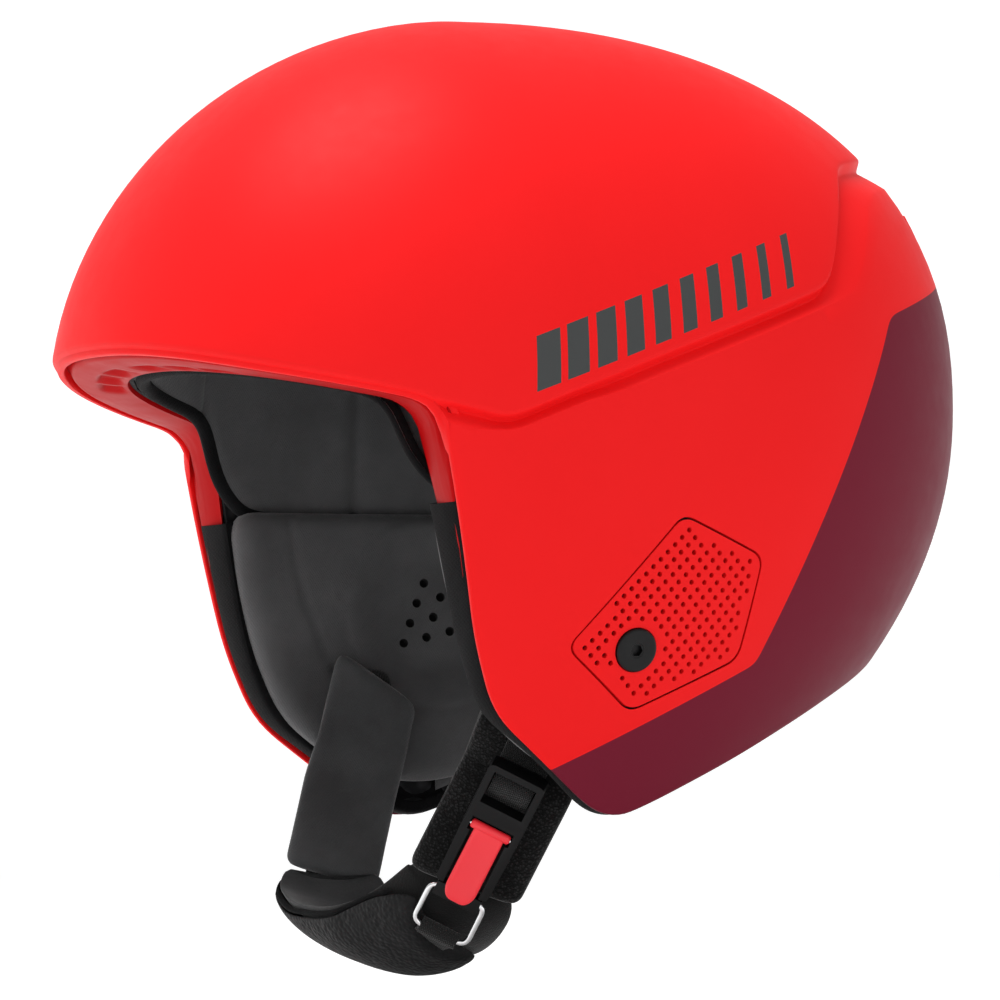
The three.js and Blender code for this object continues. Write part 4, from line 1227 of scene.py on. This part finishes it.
LEVER_X, LEVER_Z = 21.5, 8.6  # where the lever turns
rod("buckle_crossbar", across_strap(6.2, 5.4), 7.2, 1.2, 0.4, "left_strap", BLACK, "black_plastic")
rod(
    "lever_pivot", across_strap(LEVER_X, LEVER_Z), 8.7, 0.7, 0.2,
    "left_strap", CHROME, "bright_steel", ("lever_pin",),
)
LOOP = [(16, 2.2), (12.5, 3.2), (9.2, 6.2), (6.4, 7.6), (4.2, 6.4), (3.4, 3.6), (3.2, 1.8)]
loop = catmull([LEFT(x, 0, z) for x, z in LOOP], 40)
loop = ribbon(loop, lambda t: LEFT.y, lambda t: superellipse(6.4, 0.6, 28, 9.0, 4.0))
loft("buckle_web_loop", loop, "left_strap", WEBBING, "webbing", sharp=50)

# Lever: a T-bar on the pin and a shallow dished tab.
LEVER_END, LEVER_ROUND, LEVER_HALF = 45.8, 5, 4.85
round_rows = LEVER_END - LEVER_ROUND + LEVER_ROUND * np.sin(np.linspace(0, 1, 9)[1:] * np.pi / 2)
lever_rows = []
for x in np.r_[20.6, 21.0, np.linspace(22, LEVER_END - LEVER_ROUND, 16), round_rows]:
    t = (x - LEVER_X) / 22.5
    past = max(0, (x - (LEVER_END - LEVER_ROUND)) / 5.001)
    round_off = math.sqrt(max(1 - past**2, 0.0))
    half_width = LEVER_HALF * (0.35 + 0.65 * round_off) * (1 if x > 21 else 0.96)
    section = superellipse(half_width, 1.0 * (0.45 + 0.55 * round_off), 40, 7.0, 3.2)
    dish = -0.45 * np.clip(1 - (section[:, 0] / 4.0) ** 2, 0, 1)
    dish = dish * np.clip(t * 3, 0, 1) * np.clip((1 - t) * 6, 0, 1)
    top = section[:, 1] > 0
    section[:, 1] += np.where(top, dish, 0) + 0.1 * (x - LEVER_X)
    lever_rows.append(in_strap(LEFT, np.c_[np.full(40, x), section[:, 0], LEVER_Z + section[:, 1]]))
loft("lever_tab", lever_rows, "lever", LEVER_RED, "lever_red", ("buckle_lever",), sharp=60)
rod("lever_t_bar", across_strap(LEVER_X, LEVER_Z), 6.3, 1.45, 0.5, "lever", LEVER_RED, "lever_red")

RING_X, RING_HALF, RING_Z = (46, 60), 8.7, 5.0
corners = [(RING_X[0], -1), (RING_X[1], -1), (RING_X[1], 1), (RING_X[0], 1)]
outline = rounded([(x, side * RING_HALF) for x, side in corners], 3.2, True, 8)
ring_line = resampled(in_strap(LEFT, np.c_[outline, np.full(len(outline), RING_Z)]), 96)
cord_tube(
    "wire_ring_chrome", ring_line, 0.85, "ring",
    CHROME, "bright_steel", closed=True, sides=16, replaces=("wire_ring",),
)

# ---- Chin cup ----

CUP_BOTTOM = [
    (23, -35.5, -131.5), (0, -39, -135.6), (-24, -40, -132), (-37, -40, -124.5), RIGHT(43)
]
cup_path = catmull([LEFT(45, 0, -0.6), LEFT(53, 0, -0.6), *CUP_BOTTOM], 90)
shell_path = catmull([LEFT(62.6, 0, -0.6), *CUP_BOTTOM], 84)
CUP_CURL = 5.0


def cup_across(t):
    return unit(LEFT.y * (1 - t) - RIGHT.y * t)


def cup_end(t):
    """1 along the cup, falling to 0 at both ends."""
    return (1 - abs(2 * t - 1) ** 6) ** 0.5


def cup_section(outer, inner, width, rim):
    def made(t):
        end = cup_end(t)
        half_width = width / 2 * (0.72 + 0.28 * end)
        s = superellipse(1.0, 1.0, 64, 2.0, 2.0)
        v = np.sign(s[:, 0]) * np.abs(s[:, 0]) ** 0.8
        lift = (outer + inner) / 2 + s[:, 1] * (outer - inner) / 2 * (0.45 + 0.55 * end)
        mouth = rim * (5 * (1 - v**2) + 2 * v - 1) * max(1 - t / 0.3, 0)
        return np.c_[v * half_width, lift - CUP_CURL * np.abs(v) ** 2.5, mouth]

    return made


leather_rings = ribbon(shell_path, cup_across, cup_section(5.2, 0.0, 37, 1))
lining_rings = ribbon(cup_path, cup_across, cup_section(0.6, -3.9, 36.4, 0))
for name, rings, look, slot, node in (
    ("chin_cup_leather", leather_rings, LEATHER, "leather", "chin_cup_shell"),
    ("chin_cup_pad", lining_rings, CUP_KNIT, "knit", "chin_cup_lining"),
):
    loft(name, rings, "chin_cup", look, slot, (node,), sharp=70)
for k, sign in (("front", -1), ("back", 1)):
    line = []
    for i in range(6, len(shell_path) - 6):
        t = i / (len(shell_path) - 1)
        ahead = unit(shell_path[i + 1] - shell_path[i - 1])
        out = unit(np.cross(ahead, cup_across(t)))
        beside = np.cross(out, ahead)
        line.append(shell_path[i] + beside * sign * 18.2 * (0.72 + 0.28 * cup_end(t)) - out * 4.2)
    cord_tube(f"chin_cup_piping_{k}", line, 0.9, "chin_cup", KNIT_BLACK_AND_SHADE, "leather")

# ---- Goggle strap holder ----


def back_point(x, z, stand):
    """A point on the back at a height, off the middle by x, raised off the skin."""
    level = float(level_at(np.array(z)))
    low, high = np.pi / 2, np.pi
    for _ in range(30):
        middle = (low + high) / 2
        if skin(middle, level)[0] > abs(x):
            low = middle
        else:
            high = middle
    p = skin(low, level, -stand)
    p[0] = x
    return p


ARM_BOW = [(79.1, 1.4), (72, 1.6), (62, 2.1), (48, 2.2), (37, 1.9), (26, 1.6)]
ARM_HALF, ARM_WIDENING, ARM_THICK = 8, 4 / 53, 2.2
bow = catmull([(0, z, s) for z, s in ARM_BOW], 60)
arm_rings = []
for i, (_, z, stand) in enumerate(bow):
    half_width = ARM_HALF + ARM_WIDENING * (z - ARM_BOW[-1][0])
    half_width *= 0.8 + 0.2 * rounded_ends(i / 59, 60, 5)
    section = superellipse(half_width, 1.25, 44, 8.0, 3.0)
    arm_rings.append([back_point(x, z, stand + ARM_THICK / 2 + w) for x, w in section])
loft("goggle_arm_rubber", arm_rings, "goggle_arm", RUBBER, "rubber", ("goggle_strap_arm",), sharp=60)
pin = back_point(0, 80, 2.6)


def on_pin(along, a, b):
    return pin + np.c_[along, a, b]


rod("goggle_knuckle", on_pin, 12, 2.1, 0.3, "goggle_arm", RUBBER, "rubber")
rod("goggle_pin", on_pin, 15.5, 1.0, 0.3, "helmet", CHROME, "bright_steel", ("goggle_arm_pin",))
bevelled("goggle_holder_base", "goggle_base_moulding", SHELL_LOOK, 0.8, 3)
bevelled("goggle_holder_catch", "goggle_catch_moulding", BLACK, 0.3, 2)

# ---- Stage ----

PALE, PALER = (0.9, 0.9, 0.9, 1), (0.91, 0.91, 0.91, 1)
floor_look = Look("pale_floor", PALE, 0.95, specular=0.0)
floor_look.vary(PALE, PALER, 400.0)
away = floor_look.node("ShaderNodeVectorMath", operation="LENGTH")
floor_look.put(away.inputs[0], floor_look.mm)
glow = floor_look.ramp(away.outputs["Value"], 400, 1800, 0.0, 0.42)
floor_look.put(floor_look.bsdf.inputs["Emission Strength"], glow)
floor_look.bsdf.inputs["Emission Color"].default_value = (1, 1, 1, 1)
# A round studio: the floor turns up into a low wall far behind the helmet.
FLOOR_Z = -0.165
SIDES_ROUND = 96
round_turn = np.linspace(0, 2 * np.pi, SIDES_ROUND + 1)[:-1]
profile = [
    (0.4, 0), (1.5, 0), (3, 0), (5, 0), (7, 0), (7.8, 0.1), (8.5, 0.4), (8.9, 0.9), (9, 1.6)
]
circle = np.stack([np.cos(round_turn), np.sin(round_turn)], 1)
floor_rows = [np.c_[circle * r, np.full(SIDES_ROUND, z + FLOOR_Z)] for r, z in profile]
floor_points = np.vstack([*floor_rows, [[0, 0, FLOOR_Z]]])
floor_faces = grid_faces(len(profile), SIDES_ROUND, True)
hub = len(floor_points) - 1
floor_faces += [[(i + 1) % SIDES_ROUND, i, hub] for i in range(SIDES_ROUND)]
floor_mesh = bpy.data.meshes.new("floor")
floor_mesh.from_pydata(floor_points.tolist(), [], floor_faces)
floor_mesh.materials.append(floor_look.mat)
floor_mesh.shade_smooth()
floor = added("floor", floor_mesh)

world = bpy.data.worlds.new("studio")
world.use_nodes = True
world.node_tree.nodes["Background"].inputs["Color"].default_value = (1, 1, 1, 1)
world.node_tree.nodes["Background"].inputs["Strength"].default_value = 0.58
bpy.context.scene.world = world


light = bpy.data.lights.new("key", "AREA")
light.shape = "DISK"
light.size = 1.7
light.energy = 58
aimed(added("key", light), (-0.2, -0.7, 2.4))
bpy.context.scene.view_settings.view_transform = "Standard"
